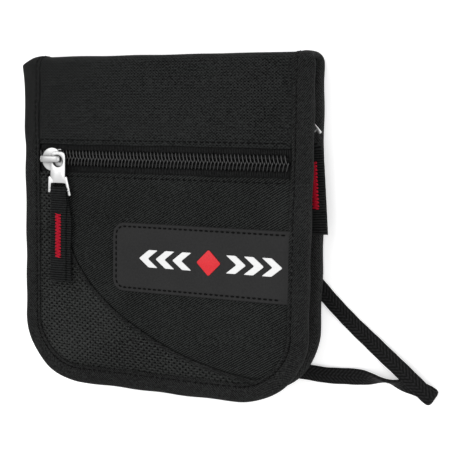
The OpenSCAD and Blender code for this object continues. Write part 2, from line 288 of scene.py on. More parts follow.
# ------------------------------------------------------------------ materials
class NT:
    def __init__(self, name):
        self.m = bpy.data.materials.new(name)
        self.m.use_nodes = True
        self.t = self.m.node_tree
        self.b = self.t.nodes["Principled BSDF"]

    def node(self, kind, **inputs):
        n = self.t.nodes.new(kind)
        for k, v in inputs.items():
            self.put(n.inputs[k.replace("_", " ")], v)
        return n

    def put(self, socket, v):
        if isinstance(v, bpy.types.NodeSocket):
            self.t.links.new(v, socket)
        else:
            socket.default_value = v

    def f(self, op, *args):
        n = self.t.nodes.new("ShaderNodeMath")
        n.operation = op
        for i, v in enumerate(args):
            self.put(n.inputs[i], v)
        return n.outputs[0]

    def uv(self):
        u = self.t.nodes.new("ShaderNodeUVMap")
        u.uv_map = "wv"
        s = self.node("ShaderNodeSeparateXYZ", Vector=u.outputs[0])
        return s.outputs[0], s.outputs[1]

    def objco(self):
        return self.t.nodes.new("ShaderNodeTexCoord").outputs["Object"]

    def noise(self, scale, detail=3.0, rough=0.55, vector=None):
        n = self.node("ShaderNodeTexNoise", Vector=vector or self.objco())
        n.inputs["Scale"].default_value = scale
        n.inputs["Detail"].default_value = detail
        n.inputs["Roughness"].default_value = rough
        return n.outputs["Fac"]

    def wave(self, x, pitch, phase=0.0):
        """0 to 1 sine of x with that pitch."""
        a = self.f("MULTIPLY", x, 2 * math.pi / pitch)
        if phase:
            a = self.f("ADD", a, phase)
        return self.f("MULTIPLY_ADD", self.f("SINE", a), 0.5, 0.5)

    def ramp(self, fac, stops):
        n = self.node("ShaderNodeValToRGB", Fac=fac)
        e = n.color_ramp.elements
        e[0].position, e[0].color = stops[0][0], (*stops[0][1], 1)
        e[1].position, e[1].color = stops[-1][0], (*stops[-1][1], 1)
        for pos, col in stops[1:-1]:
            q = e.new(pos)
            q.color = (*col, 1)
        return n.outputs["Color"]

    def span(self, x, lo, hi):
        n = self.node("ShaderNodeMapRange", Value=x)
        n.inputs["To Min"].default_value, n.inputs["To Max"].default_value = lo, hi
        return n.outputs[0]

    def finish(self, color, rough, height=None, bump=0.0002, strength=1.0, spec=0.2, metal=0.0, sheen=0.0):
        self.put(self.b.inputs["Base Color"], color)
        self.put(self.b.inputs["Roughness"], rough)
        self.b.inputs["Specular IOR Level"].default_value = spec
        self.b.inputs["Metallic"].default_value = metal
        if sheen:
            self.b.inputs["Sheen Weight"].default_value = sheen
            self.b.inputs["Sheen Roughness"].default_value = 0.5
        if height is not None:
            n = self.node("ShaderNodeBump", Height=height)
            n.inputs["Strength"].default_value = strength
            n.inputs["Distance"].default_value = bump
            self.t.links.new(n.outputs[0], self.b.inputs["Normal"])
        return self.m


def cloth(name, kind, pitch, dark, light, rough=0.85, bump=0.00018, spec=0.12, sheen=0.08, angle=30.0, fleck=1.3):
    """A woven cloth: kind is plain, twill, rib, mesh or braid, with its pitch in millimetres."""
    t = NT(name)
    u, v = t.uv()
    # threads wander a little
    w = t.noise(180, 2)
    wob = t.f("MULTIPLY", t.f("SUBTRACT", w, 0.5), 0.5 * pitch)
    u2, v2 = t.f("ADD", u, wob), t.f("ADD", v, wob)
    if kind == "plain":
        a = t.f("SINE", t.f("MULTIPLY", u2, math.pi / pitch))
        b = t.f("SINE", t.f("MULTIPLY", v2, math.pi / (pitch * 0.82)))
        h = t.f("MULTIPLY_ADD", t.f("MULTIPLY", a, b), 0.5, 0.5)
        h = t.f("ADD", t.f("MULTIPLY", h, 0.75), t.f("MULTIPLY", t.wave(v2, pitch * 1.64), 0.25))
    elif kind == "twill":
        c, s = math.cos(math.radians(angle)), math.sin(math.radians(angle))
        line = t.f("SUBTRACT", t.f("MULTIPLY", v2, c), t.f("MULTIPLY", u2, s))
        along = t.f("ADD", t.f("MULTIPLY", u2, c), t.f("MULTIPLY", v2, s))
        h = t.f("MULTIPLY", t.wave(line, pitch), t.f("MULTIPLY_ADD", t.wave(along, pitch * 0.9), 0.45, 0.55))
    elif kind == "rib":
        h = t.f("MULTIPLY", t.f("POWER", t.wave(v2, pitch), 0.7), t.f("MULTIPLY_ADD", t.wave(u2, pitch * 0.7), 0.3, 0.7))
    elif kind == "braid":
        au = t.f("ABSOLUTE", u)
        line = t.f("ADD", v, au)
        row = t.wave(line, pitch)
        h = t.f("MULTIPLY", row, t.f("MULTIPLY_ADD", t.wave(u, pitch * 0.78), 0.5, 0.5))
    elif kind == "mesh":
        tv = t.f("ADD", v, t.f("MULTIPLY", u, 0.035))
        a, b = t.f("SINE", t.f("MULTIPLY", u, math.pi / pitch)), t.f("SINE", t.f("MULTIPLY", tv, math.pi / 1.25))
        cell = t.f("MULTIPLY", a, b)
        hole = t.f("MULTIPLY", t.f("MAXIMUM", t.f("SUBTRACT", cell, 0.1), 0.0), 0.75)
        row = t.wave(t.f("ADD", tv, t.f("MULTIPLY", wob, 0.6)), 1.25)
        hole = t.f("ADD", hole, t.f("MULTIPLY", row, 0.28))
        fine = t.f("MULTIPLY", t.wave(u2, 0.72), t.wave(v2, 0.62))
        h = t.f("SUBTRACT", t.f("MULTIPLY_ADD", fine, 0.7, 0.42), hole)
    big = t.noise(28, 4)
    lint = t.noise(1150, 3, 0.85)
    shade = t.f("ADD", h, t.f("MULTIPLY", t.f("SUBTRACT", big, 0.5), 0.5))
    shade = t.f("ADD", shade, t.f("MULTIPLY", t.f("SUBTRACT", lint, 0.5), 1.5 * fleck))
    fleck2 = t.f("POWER", t.noise(1500, 2, 0.8), 7.0)
    shade = t.f("ADD", shade, t.f("MULTIPLY", fleck2, 4.0 * fleck))
    mid = tuple((a + b) * 0.42 for a, b in zip(dark, light))
    color = t.ramp(shade, [(0.08, dark), (0.5, mid), (1.0, light)])
    hh = t.f("ADD", h, t.f("MULTIPLY", t.noise(900, 2), 0.35))
    return t.finish(color, t.span(big, rough - 0.08, min(1.0, rough + 0.08)), hh, bump, 1.0, spec, sheen=sheen)


M_UPPER = cloth("upper_cloth", "plain", 0.8, (0.0002,) * 3, (0.0225, 0.0238, 0.0234), fleck=1.8, spec=0.05, sheen=0.01)
M_TWILL = cloth("lower_cloth", "twill", 0.95, (0.0008,) * 3, (0.030, 0.032, 0.031), angle=32, spec=0.05, sheen=0.01)
M_BACK = cloth("back_cloth", "plain", 0.7, (0.0025,) * 3, (0.024,) * 3, spec=0.05, sheen=0.01)
M_LINING = cloth("lining_cloth", "plain", 0.45, (0.012, 0.012, 0.0135), (0.044, 0.045, 0.048), bump=0.0001, spec=0.08, sheen=0.02)
M_BIND = cloth("binding_cloth", "twill", 0.8, (0.0006,) * 3, (0.0275, 0.0285, 0.028), fleck=1.9, angle=50, bump=0.0001, spec=0.06, sheen=0.015)
# The rear binding is a lighter copy of the binding cloth with more sheen: painted light, so it looks as bright as the
# front binding though it lies in the flap's shadow.
M_BIND_REAR_LIT = cloth("rear_binding_cloth_painted_light", "twill", 0.8, (0.002,) * 3, (0.036, 0.037, 0.0365), fleck=1.9, angle=50, bump=0.0001, spec=0.08, sheen=0.03)
M_MESH = cloth("mesh_cloth", "mesh", 1.45, (0.0006,) * 3, (0.052, 0.055, 0.053), bump=0.00035, spec=0.06, sheen=0.01)
M_TAPE = cloth("zip_tape_cloth", "rib", 0.8, (0.0006,) * 3, (0.019, 0.0195, 0.0195), bump=0.00016, spec=0.04, sheen=0.01)
M_WEB = cloth("webbing_cloth", "rib", 1.1, (0.0008,) * 3, (0.0165, 0.0175, 0.0175), bump=0.00022, spec=0.08, sheen=0.01)
M_CORD = cloth("cord_cloth", "braid", 1.9, (0.0014,) * 3, (0.0145, 0.0145, 0.015), bump=0.00022, spec=0.1, rough=0.75, sheen=0.01, fleck=1.0)


def thread(name, dark, light, spec=0.3):
    t = NT(name)
    tw = t.noise(3800, 2)
    return t.finish(t.ramp(tw, [(0.3, dark), (0.7, light)]), t.span(tw, 0.5, 0.7), tw, 0.00008, 1.0, spec)


M_THREAD = thread("black_thread", (0.0008,) * 3, (0.0045,) * 3, 0.05)
M_THREAD2 = thread("grey_thread", (0.006,) * 3, (0.02,) * 3, 0.1)
M_RED = thread("red_thread", (0.16, 0.002, 0.008), (0.62, 0.010, 0.034), 0.08)


def coil_material():
    t = NT("zip_coil_nylon")
    n = t.noise(420, 3)
    return t.finish(t.ramp(n, [(0.3, (0.0015,) * 3), (0.75, (0.006,) * 3)]), t.span(n, 0.2, 0.32), t.noise(1500, 2), 0.00003, 0.6, 0.6)


def nickel_painted_shade_material(name, top):
    t = NT(name)
    n, fine = t.noise(90, 4), t.noise(2400, 2)
    # Painted shade: ambient occlusion darkens the nickel's colour in crevices and where parts come close, with a little
    # noise mixed in.
    occlusion_shade = t.t.nodes.new("ShaderNodeAmbientOcclusion")
    occlusion_shade.inputs["Distance"].default_value = 0.0035
    shade = t.f("ADD", t.f("MULTIPLY", t.f("POWER", occlusion_shade.outputs["AO"], 1.6), 0.9), t.f("MULTIPLY", n, 0.2))
    return t.finish(t.ramp(shade, [(0.1, (0.10, 0.10, 0.10)), (0.55, (0.55 * top, 0.55 * top, 0.55 * top)), (1.0, (top, top, top))]), t.span(n, 0.26, 0.4), fine, 0.00002, 0.5, 0.5, metal=1.0)


def rubber_material(name, dark, light, rough=0.6, spec=0.3, grain=1100):
    t = NT(name)
    n, g = t.noise(35, 4), t.noise(grain, 3)
    sh = t.f("ADD", t.f("MULTIPLY", n, 0.5), t.f("MULTIPLY", g, 0.5))
    return t.finish(t.ramp(sh, [(0.3, dark), (0.7, light)]), t.span(n, rough - 0.06, rough + 0.08), g, 0.00005, 0.8, spec)


def fuzz_material(name, dark, light):
    t = NT(name)
    g, c = t.noise(1700, 4, 0.7), t.noise(500, 3)
    return t.finish(t.ramp(t.f("MULTIPLY", g, t.f("ADD", c, 0.5)), [(0.3, dark), (0.75, light)]), 0.95, g, 0.0004, 1.0, 0.08, sheen=0.3)


# The crown's nickel is a darker copy of the same nickel (0.47 against 0.66): painted shade.
M_COIL, M_NICKEL, M_CROWN_SHADED = coil_material(), nickel_painted_shade_material("nickel_plate", 0.66), nickel_painted_shade_material("nickel_crown_painted_shade", 0.47)
M_BADGE = rubber_material("badge_pvc", (0.015, 0.015, 0.0152), (0.024, 0.024, 0.0242), 0.7, 0.12)
M_RIM = rubber_material("badge_rim_pvc", (0.016, 0.016, 0.016), (0.024, 0.024, 0.024), 0.6, 0.2)
M_WHITE = rubber_material("white_pvc", (0.68, 0.68, 0.68), (0.78, 0.78, 0.78), 0.55, 0.2)
M_REDPVC = rubber_material("red_pvc", (0.50, 0.004, 0.010), (0.66, 0.010, 0.020), 0.4, 0.4)
M_HOOK = fuzz_material("hook_nylon", (0.002,) * 3, (0.02,) * 3)
M_LOOP = fuzz_material("loop_pile", (0.003,) * 3, (0.03,) * 3)


# ------------------------------------------------------------------ neck cord
CORD_W, CORD_T = 7.5, 1.9
OUT = [[58, 59.9, 1.1, 0], [58, 45, 1.1, 0], [57, 25, 1.1, 0], [57, 5, 1.1, 0], [60, -10, 1.1, 0], [66, -20, 1.1, 0],
       [73, -28, 1.1, 0], [81, -36, 1.1, 0], [88.6, -42.7, 1.6, 0], [95.2, -47.8, 2.5, 0], [102.4, -53.4, 3.6, 0], [109.6, -58.9, 4.5, 0], [115.4, -63.6, 5, 0], [121.6, -69, 5.1, 0]]
BACK = [[121.6, -69, 1.1, 0], [115.5, -66.8, 1.6, 8], [109, -65.6, 2.6, 34], [103.5, -64.4, 4.0, 73], [97.5, -64.0, 3.4, 46], [91.5, -64.6, 1.8, 14],
        [84, -65.2, 1.1, 0], [75, -65.8, 1.1, 0], [66, -65.4, 1.1, 0], [52, -64.6, 1.1, 0], [38, -62.5, 1.1, 0], [20, -58, 1.1, 0], [8, -54.6, 1.1, 0]]
LEFT = [[-58, 59.9, 1.1, 0], [-58, 54, 1.1, 0], [-52, 47.5, 1.1, 0], [-42, 44, 1.1, 0], [-30, 43, 1.1, 0], [-20, 42, 1.1, 0]]
bight = []
for a in range(12, 180, 12):
    q = math.radians(a)
    o = np.array([math.cos(math.radians(-31)), math.sin(math.radians(-31))])
    bight.append([121.6 + 2 * o[0] * math.sin(q), -69 + 2 * o[1] * math.sin(q), 3.1 + 2 * math.cos(q), 0])
CC, TURNS, R0, R1 = np.array([-6.0, -6.0]), 373.0, 30.0, 47.0


def arm(start):
    out = []
    for k in range(0, 374, 8):
        a, r = math.radians(start - k), R1 - (R1 - R0) * k / TURNS
        out.append([CC[0] + r * math.cos(a), CC[1] + r * math.sin(a), 1.1, 0])
    return out


def half(start, way):
    """Half circle of radius R0/2 between an arm's inner end and the middle."""
    a0 = math.radians(start)
    c = CC + R0 / 2 * np.array([math.cos(a0), math.sin(a0)])
    b = a0 if way < 0 else a0 + math.pi
    return [[c[0] + R0 / 2 * math.cos(b + way * t), c[1] + R0 / 2 * math.sin(b + way * t), 1.1, 0] for t in np.linspace(0, math.pi, 14)[1:-1]]


arm_a, arm_b = arm(-90), arm(90)
middle = half(-90 - TURNS, -1) + [[CC[0], CC[1], 1.1, 0]] + half(90 - TURNS, 1)
wound = arm_a + middle + arm_b[::-1]
a_part, b_part = np.array(OUT), np.array(BACK + wound + LEFT[::-1])
dense = np.concatenate([cr(a_part, 30), np.array(bight), cr(b_part, 24)])
dense, cord_s = resample(dense, 0.62)
# soften the joins a little
for _ in range(6):
    dense[1:-1] = 0.25 * dense[:-2] + 0.5 * dense[1:-1] + 0.25 * dense[2:]
dense, cord_s = resample(dense, 0.62)
P, roll = dense[:, :3], np.radians(dense[:, 3])
D = unit(np.gradient(P, axis=0))
side = np.cross(D, np.broadcast_to((0.0, 0.0, 1.0), D.shape))
flat_ok = np.linalg.norm(side, axis=1) > 0.2
lead = unit(np.array([-0.515, -0.857, 0.0]))
side[~flat_ok] = lead
side = unit(side)
for i in range(1, len(side)):
    if side[i] @ side[i - 1] < 0:
        side[i] = -side[i]
upv = np.cross(side, D)
S = side * np.cos(roll)[:, None] + upv * np.sin(roll)[:, None]
U = upv * np.cos(roll)[:, None] - side * np.sin(roll)[:, None]
S = unit(S)
U = unit(U)
g = Geo()
nside = 20
ang = np.linspace(0, 2 * math.pi, nside, endpoint=False)
cu = np.sign(np.cos(ang)) * np.abs(np.cos(ang)) ** 0.62
cw = np.sign(np.sin(ang)) * np.abs(np.sin(ang)) ** 0.75
ua = cu * CORD_W / 2
relief = 0.07 * (np.sin(2 * math.pi * (cord_s[:, None] + np.abs(ua)[None]) / 1.9) * np.cos(2 * math.pi * ua[None] / 1.5))
edge_w = 1 + 0.012 * np.sin(cord_s / 1.3)[:, None] + 0.02 * np.sin(cord_s / 9.1)[:, None]
rings = P[:, None] + S[:, None] * (ua[None] * edge_w)[..., None] + U[:, None] * (cw[None] * (CORD_T / 2 * 0.93 + relief))[..., None]
uv = np.stack(np.broadcast_arrays(ua[None], cord_s[:, None]), -1)
rings[..., 2] = np.maximum(rings[..., 2], 0.05)
g.loft(rings, uv)
cord = g.make("neck_cord", M_CORD, "rear_body", ["neck_cord_out", "neck_cord_bight", "neck_cord_back", "neck_cord_left", "neck_cord_coil"], "cord_braid")


# ------------------------------------------------------------------ binding tapes
def outline_left(r=32.0, top=0.0, straight_from=0.0):
    """Left half of the outline as (x, y, inward x, inward y), from y = top down and round to the middle of the lower edge."""
    pts = []
    for y in np.linspace(top, -HH + r, 60):
        pts.append([-HW, y, 1, 0])
    for a in np.linspace(180, 270, 60)[1:]:
        c, s = math.cos(math.radians(a)), math.sin(math.radians(a))
        pts.append([-HW + r + r * c, -HH + r + r * s, -c, -s])
    for x in np.linspace(-HW + r, 0, 40)[1:]:
        pts.append([x, -HH, 0, 1])
    return np.array(pts)


PROFILE = cr([(9.0, .75), (8.78, .30), (8.1, .26), (7.3, .40), (6.4, .20), (5.2, .03), (3.6, 0), (1.9, .26), (.65, 1.1), (.05, 2.4), (0, 3.2), (.05, 4.0), (.65, 5.3),
              (1.9, 6.1), (3.6, 6.35), (5.4, 6.28), (7.3, 6.0), (8.2, 6.14), (8.8, 6.1), (9.0, 5.7), (8.6, 5.45), (5, 5.5), (2.3, 5.2), (1.2, 4.2), (1.0, 3.2), (1.2, 2.2),
              (2.3, 1.15), (5, .9), (8.6, .95), (9.0, .75)], 2)[:-1]


def fold_rows(ctrl, way):
    """(y, z, inset, thickness) control rows across the fold, to points with outward normals in the y-z plane."""
    c = cr(ctrl, 12)
    t = unit(np.gradient(c[:, :2], axis=0)) * way
    return c, np.stack([t[:, 1], -t[:, 0]], 1)


def fl(v, w):
    return (HH + v * CT + w * ST, 9.2 - v * ST + w * CT)


FLAP_FOLD = ([(77.9, 8.5, 5.6, .3), (77.9, 10.6, 5.6, .3), (77.7, 12.6, 4.9, .3), (77.0, 14.4, 3.2, .3), (75.4, 15.9, .9, .34), (73.6, 16.7, -.95, .42),
              (*fl(-6.8, 7.45), -.75, .5), (*fl(-11, 7.52), -.5, .7), (*fl(-16, 7.58), -.5, .9), (*fl(-21, 7.6), -.5, 1)],
             [(77.7, 8.5, 1.6, .55), (77.7, 10.6, 1.6, .55), (77.5, 12.6, 1.5, .55), (76.8, 14.4, 1.1, .55), (75.3, 15.9, .4, .55), (73.4, 16.7, -.3, .56),
              (*fl(-6.8, 7.45), -.4, .6), (*fl(-11, 7.52), -.2, .74), (*fl(-16, 7.58), 0, .9), (*fl(-21, 7.6), 0, 1)])
REAR_FOLD = ([(77.7, 8.5, 4.6, .3), (77.6, 6.6, 4.2, .3), (77.2, 4.3, 3.0, .3), (76.0, 2.2, 1.2, .36), (74.0, .8, .3, .5), (71, .15, 0, .72), (66, 0, 0, .92), (60, 0, 0, 1)],
             [(77.7, 8.5, 1.6, .55), (77.6, 6.6, 1.5, .55), (77.2, 4.3, 1.2, .55), (76.0, 2.2, .6, .55), (74.0, .8, .2, .6), (71, .15, 0, .76), (66, 0, 0, .92), (60, 0, 0, 1)])


def sweep(flap):
    halves = []
    for sg in (-1, 1):
        ctrl = (FLAP_FOLD if flap else REAR_FOLD)[0 if sg < 0 else 1]
        fold, normal = fold_rows(ctrl, 1 if flap else -1)
        rows = [[sg * (HW - q[2]), q[0], q[1], -sg, 0, 0, 0, n[0], n[1], q[3], 9 - q[2]] for q, n in zip(fold, normal)]
        o = outline_left(top=(-21.5 + HH) if flap else 59.4)
        ox, oi = o[:, 0] * -sg, o[:, 2] * -sg
        if flap:
            x, v = warp(ox, o[:, 1] - HH)
            p = tf(FLAP, np.stack([x, v, np.full(len(x), 7.6)], 1))
            i = np.stack([oi, o[:, 3], 0 * x], 1) @ FLAP[:3, :3].T
            n = np.broadcast_to(FLAP[:3, 2], p.shape)
        else:
            x, y = rear_warp(ox, o[:, 1])
            p = np.c_[x, y, np.zeros(len(o))]
            i = np.c_[oi, o[:, 3], np.zeros(len(o))]
            n = np.broadcast_to((0.0, 0.0, -1.0), p.shape)
        halves.append(np.array(rows + [[*a, *b, *c, 1, 9] for a, b, c in zip(p, i, n)]))
    return resample(np.concatenate([halves[0], halves[1][::-1][1:]]), 0.56)


def binding_rings(a, s, k=1.0, pitch=2.8):
    o, i, n, tau, inner = a[:, :3], unit(a[:, 3:6]), unit(a[:, 6:9]), a[:, 9], a[:, 10]
    d, h = PROFILE[:, 0][None], PROFILE[:, 1][None] * k
    st = s[:, None]
    frontness = smooth(2.6, 1.4, h / k)
    dent = 0.5 * np.exp(-((d - 7.3) / 0.6) ** 2) * (0.5 + 0.5 * np.cos(2 * math.pi * st / pitch))
    pucker = 0.07 * np.cos(2 * math.pi * st / pitch) * np.exp(-((d - 8.4) / 0.9) ** 2) - 0.05 * np.cos(2 * math.pi * st / pitch) * np.exp(-((d - 5.4) / 1.3) ** 2)
    soft = 0.10 * np.sin(st / 6.1 + 1.3) + 0.08 * np.sin(st / 2.7 + d) + 0.09 * np.sin(st / 15.0)
    back = smooth(3.8, 5.2, h / k)
    hh = h + frontness * (dent + pucker + soft * 0.8) - back * (dent + pucker + soft * 0.5)
    dd = d * (inner / 9.0)[:, None] + 0.16 * np.sin(st / 3.9 + 0.5) * smooth(6, 0, d) + 0.05 * np.sin(st * 2 * math.pi / pitch) * smooth(7, 9, d)
    dd = dd + 0.12 * np.sin(st / 11.0) * smooth(7, 9, d)
    return o[:, None] + i[:, None] * dd[..., None] - n[:, None] * (hh * tau[:, None])[..., None]


PROF_LEN = np.r_[0, np.cumsum(np.linalg.norm(np.diff(PROFILE, axis=0), axis=1))]


def binding_piece(name, flap, material, nodes, blend):
    a, s = sweep(flap)
    k = 1.0 if flap else 5.2 / 6.35
    r = binding_rings(a, s, k)
    if not flap:
        # the tape lifts where the cord passes under it
        x, y = r[..., 0], r[..., 1]
        c, q = math.cos(math.radians(45)), math.sin(math.radians(45))
        lx, ly = (x - 69) * c - (y + 23.5) * q, (x - 69) * q + (y + 23.5) * c
        m1 = smooth(16, 12.5, np.abs(lx)) * smooth(7.4, 4.7, np.abs(ly))
        m2 = smooth(42, 46, x) * smooth(7.2, 4.4, np.abs(y + 65.2))
        m = np.maximum(m1, m2)
        r[..., 2] = np.where(r[..., 1] < 40, np.maximum(r[..., 2], 2.35 * m), r[..., 2])
    r[..., 2] = np.maximum(r[..., 2], 0.02)
    uv = np.stack(np.broadcast_arrays(PROF_LEN[None], s[:, None]), -1)
    g = Geo().loft(r, uv)
    g.make(name, material, nodes=nodes, slot="binding_tape", blend=blend)
    # stitches: one row on the outer face, one on the other
    t = Geo()
    near = []
    for pick, sign in ((int(np.argmin(np.hypot(PROFILE[:, 0] - 7.3, PROFILE[:, 1] - .4))), 1), (int(np.argmin(np.hypot(PROFILE[:, 0] - 7.3, PROFILE[:, 1] - 6.0))), -1)):
        at = np.arange(1.4, s[-1] - 1, 2.8)
        idx = np.clip(np.searchsorted(s, at), 1, len(s) - 2)
        p = r[idx, pick]
        tt = r[idx + 1, pick] - r[idx - 1, pick]
        nn = unit(a[idx, 6:9]) * sign
        near.append((p, tt, nn))
        t.stitch(p, tt, nn, 1.8, 0.27, 0.06, -0.02)
    t.make(name + "_stitches", M_THREAD, slot="binding_tape", blend=blend)
    return a, s, r


BL_FLAP = ("spine", "flap", (0, 77.6, 11.0), (0, 74.5, 16.2))
BL_REAR = ("rear_body", "spine", (0, 75.5, 1.6), (0, 78.0, 6.5))
binding_piece("flap_edge_binding", True, M_BIND, ["flap_binding"], BL_FLAP)
binding_piece("rear_edge_binding", False, M_BIND_REAR_LIT, ["rear_binding"], BL_REAR)


# ------------------------------------------------------------------ flap panels
def half_width(y, d):
    """Half width of the outline inset by d at height y above the middle."""
    r, c = 32.0 - d, -HH + 32.0
    y = np.asarray(y, float)
    w = (HW - 32.0) + np.sqrt(np.clip(r * r - (y - c) ** 2, 0, None))
    return np.where(y >= c, HW - d, w)


def thick(top, t, down):
    """The other side of a sheet, t below along down."""
    return top - np.asarray(down) * t


NF = FLAP[:3, 2]


def pocket(x, v):
    """Height of the flap's front cloth above its seat: it swells a little between the bindings and the zip."""
    y = v + HH
    hwid = half_width(y, 9.0)
    e = np.minimum(hwid - np.abs(x), y + HH - 9.0)
    lift = 0.35 * smooth(0, 9, e) - 0.5 * np.exp(-(np.clip(e, 0, None) / 1.0) ** 2)
    return lift + 0.13 * rumple(x, v, 3, 46) * smooth(0, 10, e) + 0.05 * rumple(x, v, 5, 15)


def near_edge(v, at, sgn):
    """Groove of the stitch row 1.6 mm from a folded edge, and a soft step where the turned-in cloth ends."""
    q = (v - at) * sgn
    return -0.4 * np.exp(-((q - 2.0) / 0.6) ** 2) + 0.16 * smooth(8.5, 6.5, q)


TOPF, BOTF = FZ + 6.4, FZ - 6.5          # the folded edges above and below the front zip
cols = np.linspace(-1, 1, 190)
# upper panel with the cloth over the fold, one sheet
fold_c, fold_n = fold_rows([(77.3, 8.5, 0, 1), (77.3, 10.5, 0, 1), (77.1, 12.5, 0, 1), (76.45, 14.1, 0, 1), (75.1, 15.5, 0, 1), (73.2, 16.15, 0, 1), (*fl(-6.8, 6.95), 0, 1)], 1)
rows_top, rows_n, rows_s = [], [], []
for q, n in zip(fold_c, fold_n):
    x = cols * 68.2
    z = np.full_like(x, q[1])
    sag = 0.16 * rumple(x, np.full_like(x, q[1] * 3), 8, 30)
    rows_top.append(np.stack([x, q[0] + n[0] * sag, q[1] + n[1] * sag], 1))
    rows_n.append(np.tile([0, n[0], n[1]], (len(x), 1)))
vv = np.r_[np.arange(-7.4, TOPF + 1.2, -1.0), np.linspace(TOPF + 1.1, TOPF + 0.25, 6)]
drops = np.r_[np.zeros(len(vv) - 3), 0.03, 0.06, 0.12]
for v, dr in list(zip(vv, drops)) + [(TOPF + 0.08, 0.25), (TOPF, 0.45), (TOPF + 0.02, 0.7)]:
    x = cols * 70.3
    va = np.full_like(x, v)
    blend_in = smooth(-5, -14, v)
    w = 6.86 + pocket(x, va) * blend_in + 0.16 * rumple(x, np.full_like(x, 45.0), 8, 30) * (1 - blend_in) + near_edge(va, TOPF, 1) - dr
    edge_wave = 0.12 * np.sin(x / 5.3) + 0.1 * np.sin(x / 13.0 + 1)
    va = va + edge_wave * smooth(TOPF + 4, TOPF, v)
    rows_top.append(on_flap(x, va, w))
    rows_n.append(np.tile(NF, (len(x), 1)))
top, nrm = np.array(rows_top), np.array(rows_n)
sv = np.r_[0, np.cumsum(np.linalg.norm(np.diff(top[:, 95], axis=0), axis=1))]
uv = np.stack(np.broadcast_arrays(top[..., 0], sv[:, None]), -1)
Geo().slab(top, top - nrm * 0.55, uv).make("flap_upper_cloth", M_UPPER, nodes=["flap_upper_panel"], slot="outer_fabric", blend=BL_FLAP)

# lower half of the fold, from the spine to the back panel
fold_c, fold_n = fold_rows([(77.3, 8.5, 0, 1), (77.2, 6.6, 0, 1), (76.8, 4.6, 0, 1), (75.7, 2.8, 0, 1), (73.9, 2.35, 0, 1), (70.0, 2.3, 0, 1)], -1)
top, nrm = [], []
for q, n in zip(fold_c, fold_n):
    x = cols * 68.2
    sag = 0.16 * rumple(x, np.full_like(x, q[1] * 3), 8, 30) * smooth(3, 8, q[1])
    top.append(np.stack([x, q[0] + n[0] * sag, q[1] + n[1] * sag], 1))
    nrm.append(np.tile([0, n[0], n[1]], (len(x), 1)))
top, nrm = np.array(top), np.array(nrm)
sv = np.r_[0, np.cumsum(np.linalg.norm(np.diff(top[:, 95], axis=0), axis=1))]
Geo().slab(top, top - nrm * 0.55, np.stack(np.broadcast_arrays(top[..., 0], sv[:, None]), -1)).make(
    "spine_cloth", M_UPPER, nodes=["spine_cover"], slot="outer_fabric", blend=BL_REAR)
# lining inside the fold, in two halves
for nm, ctrl, way, bl, rep in (
        ("spine_lining_rear", [(76.7, 8.5, 0, 1), (76.6, 6.8, 0, 1), (76.6, 5.6, 0, 1), (75.6, 4.8, 0, 1), (73.6, 4.7, 0, 1)], -1, ("rear_body", "spine", (0, 75.0, 4.4), (0, 76.9, 7.0)), ["spine_lining"]),
        ("spine_lining_flap", [(76.7, 8.5, 0, 1), (76.6, 10.0, 0, 1), (76.6, 11.2, 0, 1), (75.6, 12.0, 0, 1), (73.0, 12.15, 0, 1)], 1, ("spine", "flap", (0, 76.9, 9.6), (0, 75.0, 12.4)), [])):
    fc, fn = fold_rows(ctrl, way)
    tp = np.array([np.stack([cols * 64, np.full(190, q[0]), np.full(190, q[1])], 1) for q in fc])
    nn = np.array([np.tile([0, n[0], n[1]], (190, 1)) for n in fn])
    sv = np.r_[0, np.cumsum(np.linalg.norm(np.diff(tp[:, 95], axis=0), axis=1))]
    Geo().slab(tp, tp - nn * 0.35, np.stack(np.broadcast_arrays(tp[..., 0], sv[:, None]), -1)).make(nm, M_LINING, nodes=rep, slot="lining_fabric", blend=bl)

# seam circle between the lower panel and the mesh insert
CX, CV = 42.0, -46.5
SEAM = cr([(-190, 97.3), (-176, 97.5), (-164, 98.7), (-153, 99.1), (-143, 98.2), (-131, 96.1), (-122, 94.5), (-112, 93.9), (-102, 94.4), (-94, 95.6), (-88, 97.0), (-80, 99.6)], 12)


def seam_r(x, v):
    th = np.degrees(np.arctan2(v - CV, x - CX))
    return np.interp(np.where(th > 0, th - 360, th), SEAM[:, 0], SEAM[:, 1])


def seam_x(v):
    px = CX + SEAM[:, 1] * np.cos(np.radians(SEAM[:, 0]))
    pv = CV + SEAM[:, 1] * np.sin(np.radians(SEAM[:, 0]))
    return np.interp(-v, np.r_[-pv, 150.0], np.r_[px, 80.0])


def edge_rows(bottom):
    return np.r_[[BOTF - 0.02, BOTF, BOTF - 0.08], np.linspace(BOTF - 0.25, BOTF - 1.2, 6), np.arange(BOTF - 2.0, bottom, -0.85)]


vrows = edge_rows(-149.0)
drow = np.r_[0.7, 0.45, 0.25, 0.12, 0.06, 0.03, np.zeros(len(vrows) - 6)]
top, uvs = [], []
tc = np.linspace(0, 1, 170)
tc = tc - 0.055 * np.sin(2 * math.pi * tc) / (2 * math.pi) * 4
for v, dr in zip(vrows, drow):
    xl = max(float(seam_x(v)), -70.0)
    xr = float(half_width(v + HH, 2.6))
    xl = min(xl, xr - 0.5)
    x = xl + (xr - xl) * tc
    va = np.full_like(x, v)
    ds = np.abs(seam_r(x, va) - np.hypot(x - CX, va - CV))
    tuck = -0.75 * np.exp(-(ds / 0.75) ** 2) + 0.22 * np.exp(-((ds - 2.3) / 1.2) ** 2)
    w = 6.86 + pocket(x, va) + near_edge(-va, -BOTF, 1) + tuck - dr
    va = va + (0.12 * np.sin(x / 6.1) + 0.1 * np.sin(x / 11.0 + 2)) * smooth(BOTF - 4, BOTF, v)
    top.append(on_flap(x, va, w))
    uvs.append(np.stack([x, va], 1))
top, uvs = np.array(top), np.array(uvs)
Geo().slab(top, top - NF * 0.6, uvs).make("flap_lower_cloth", M_TWILL, "flap", ["flap_lower_panel"], "outer_fabric")

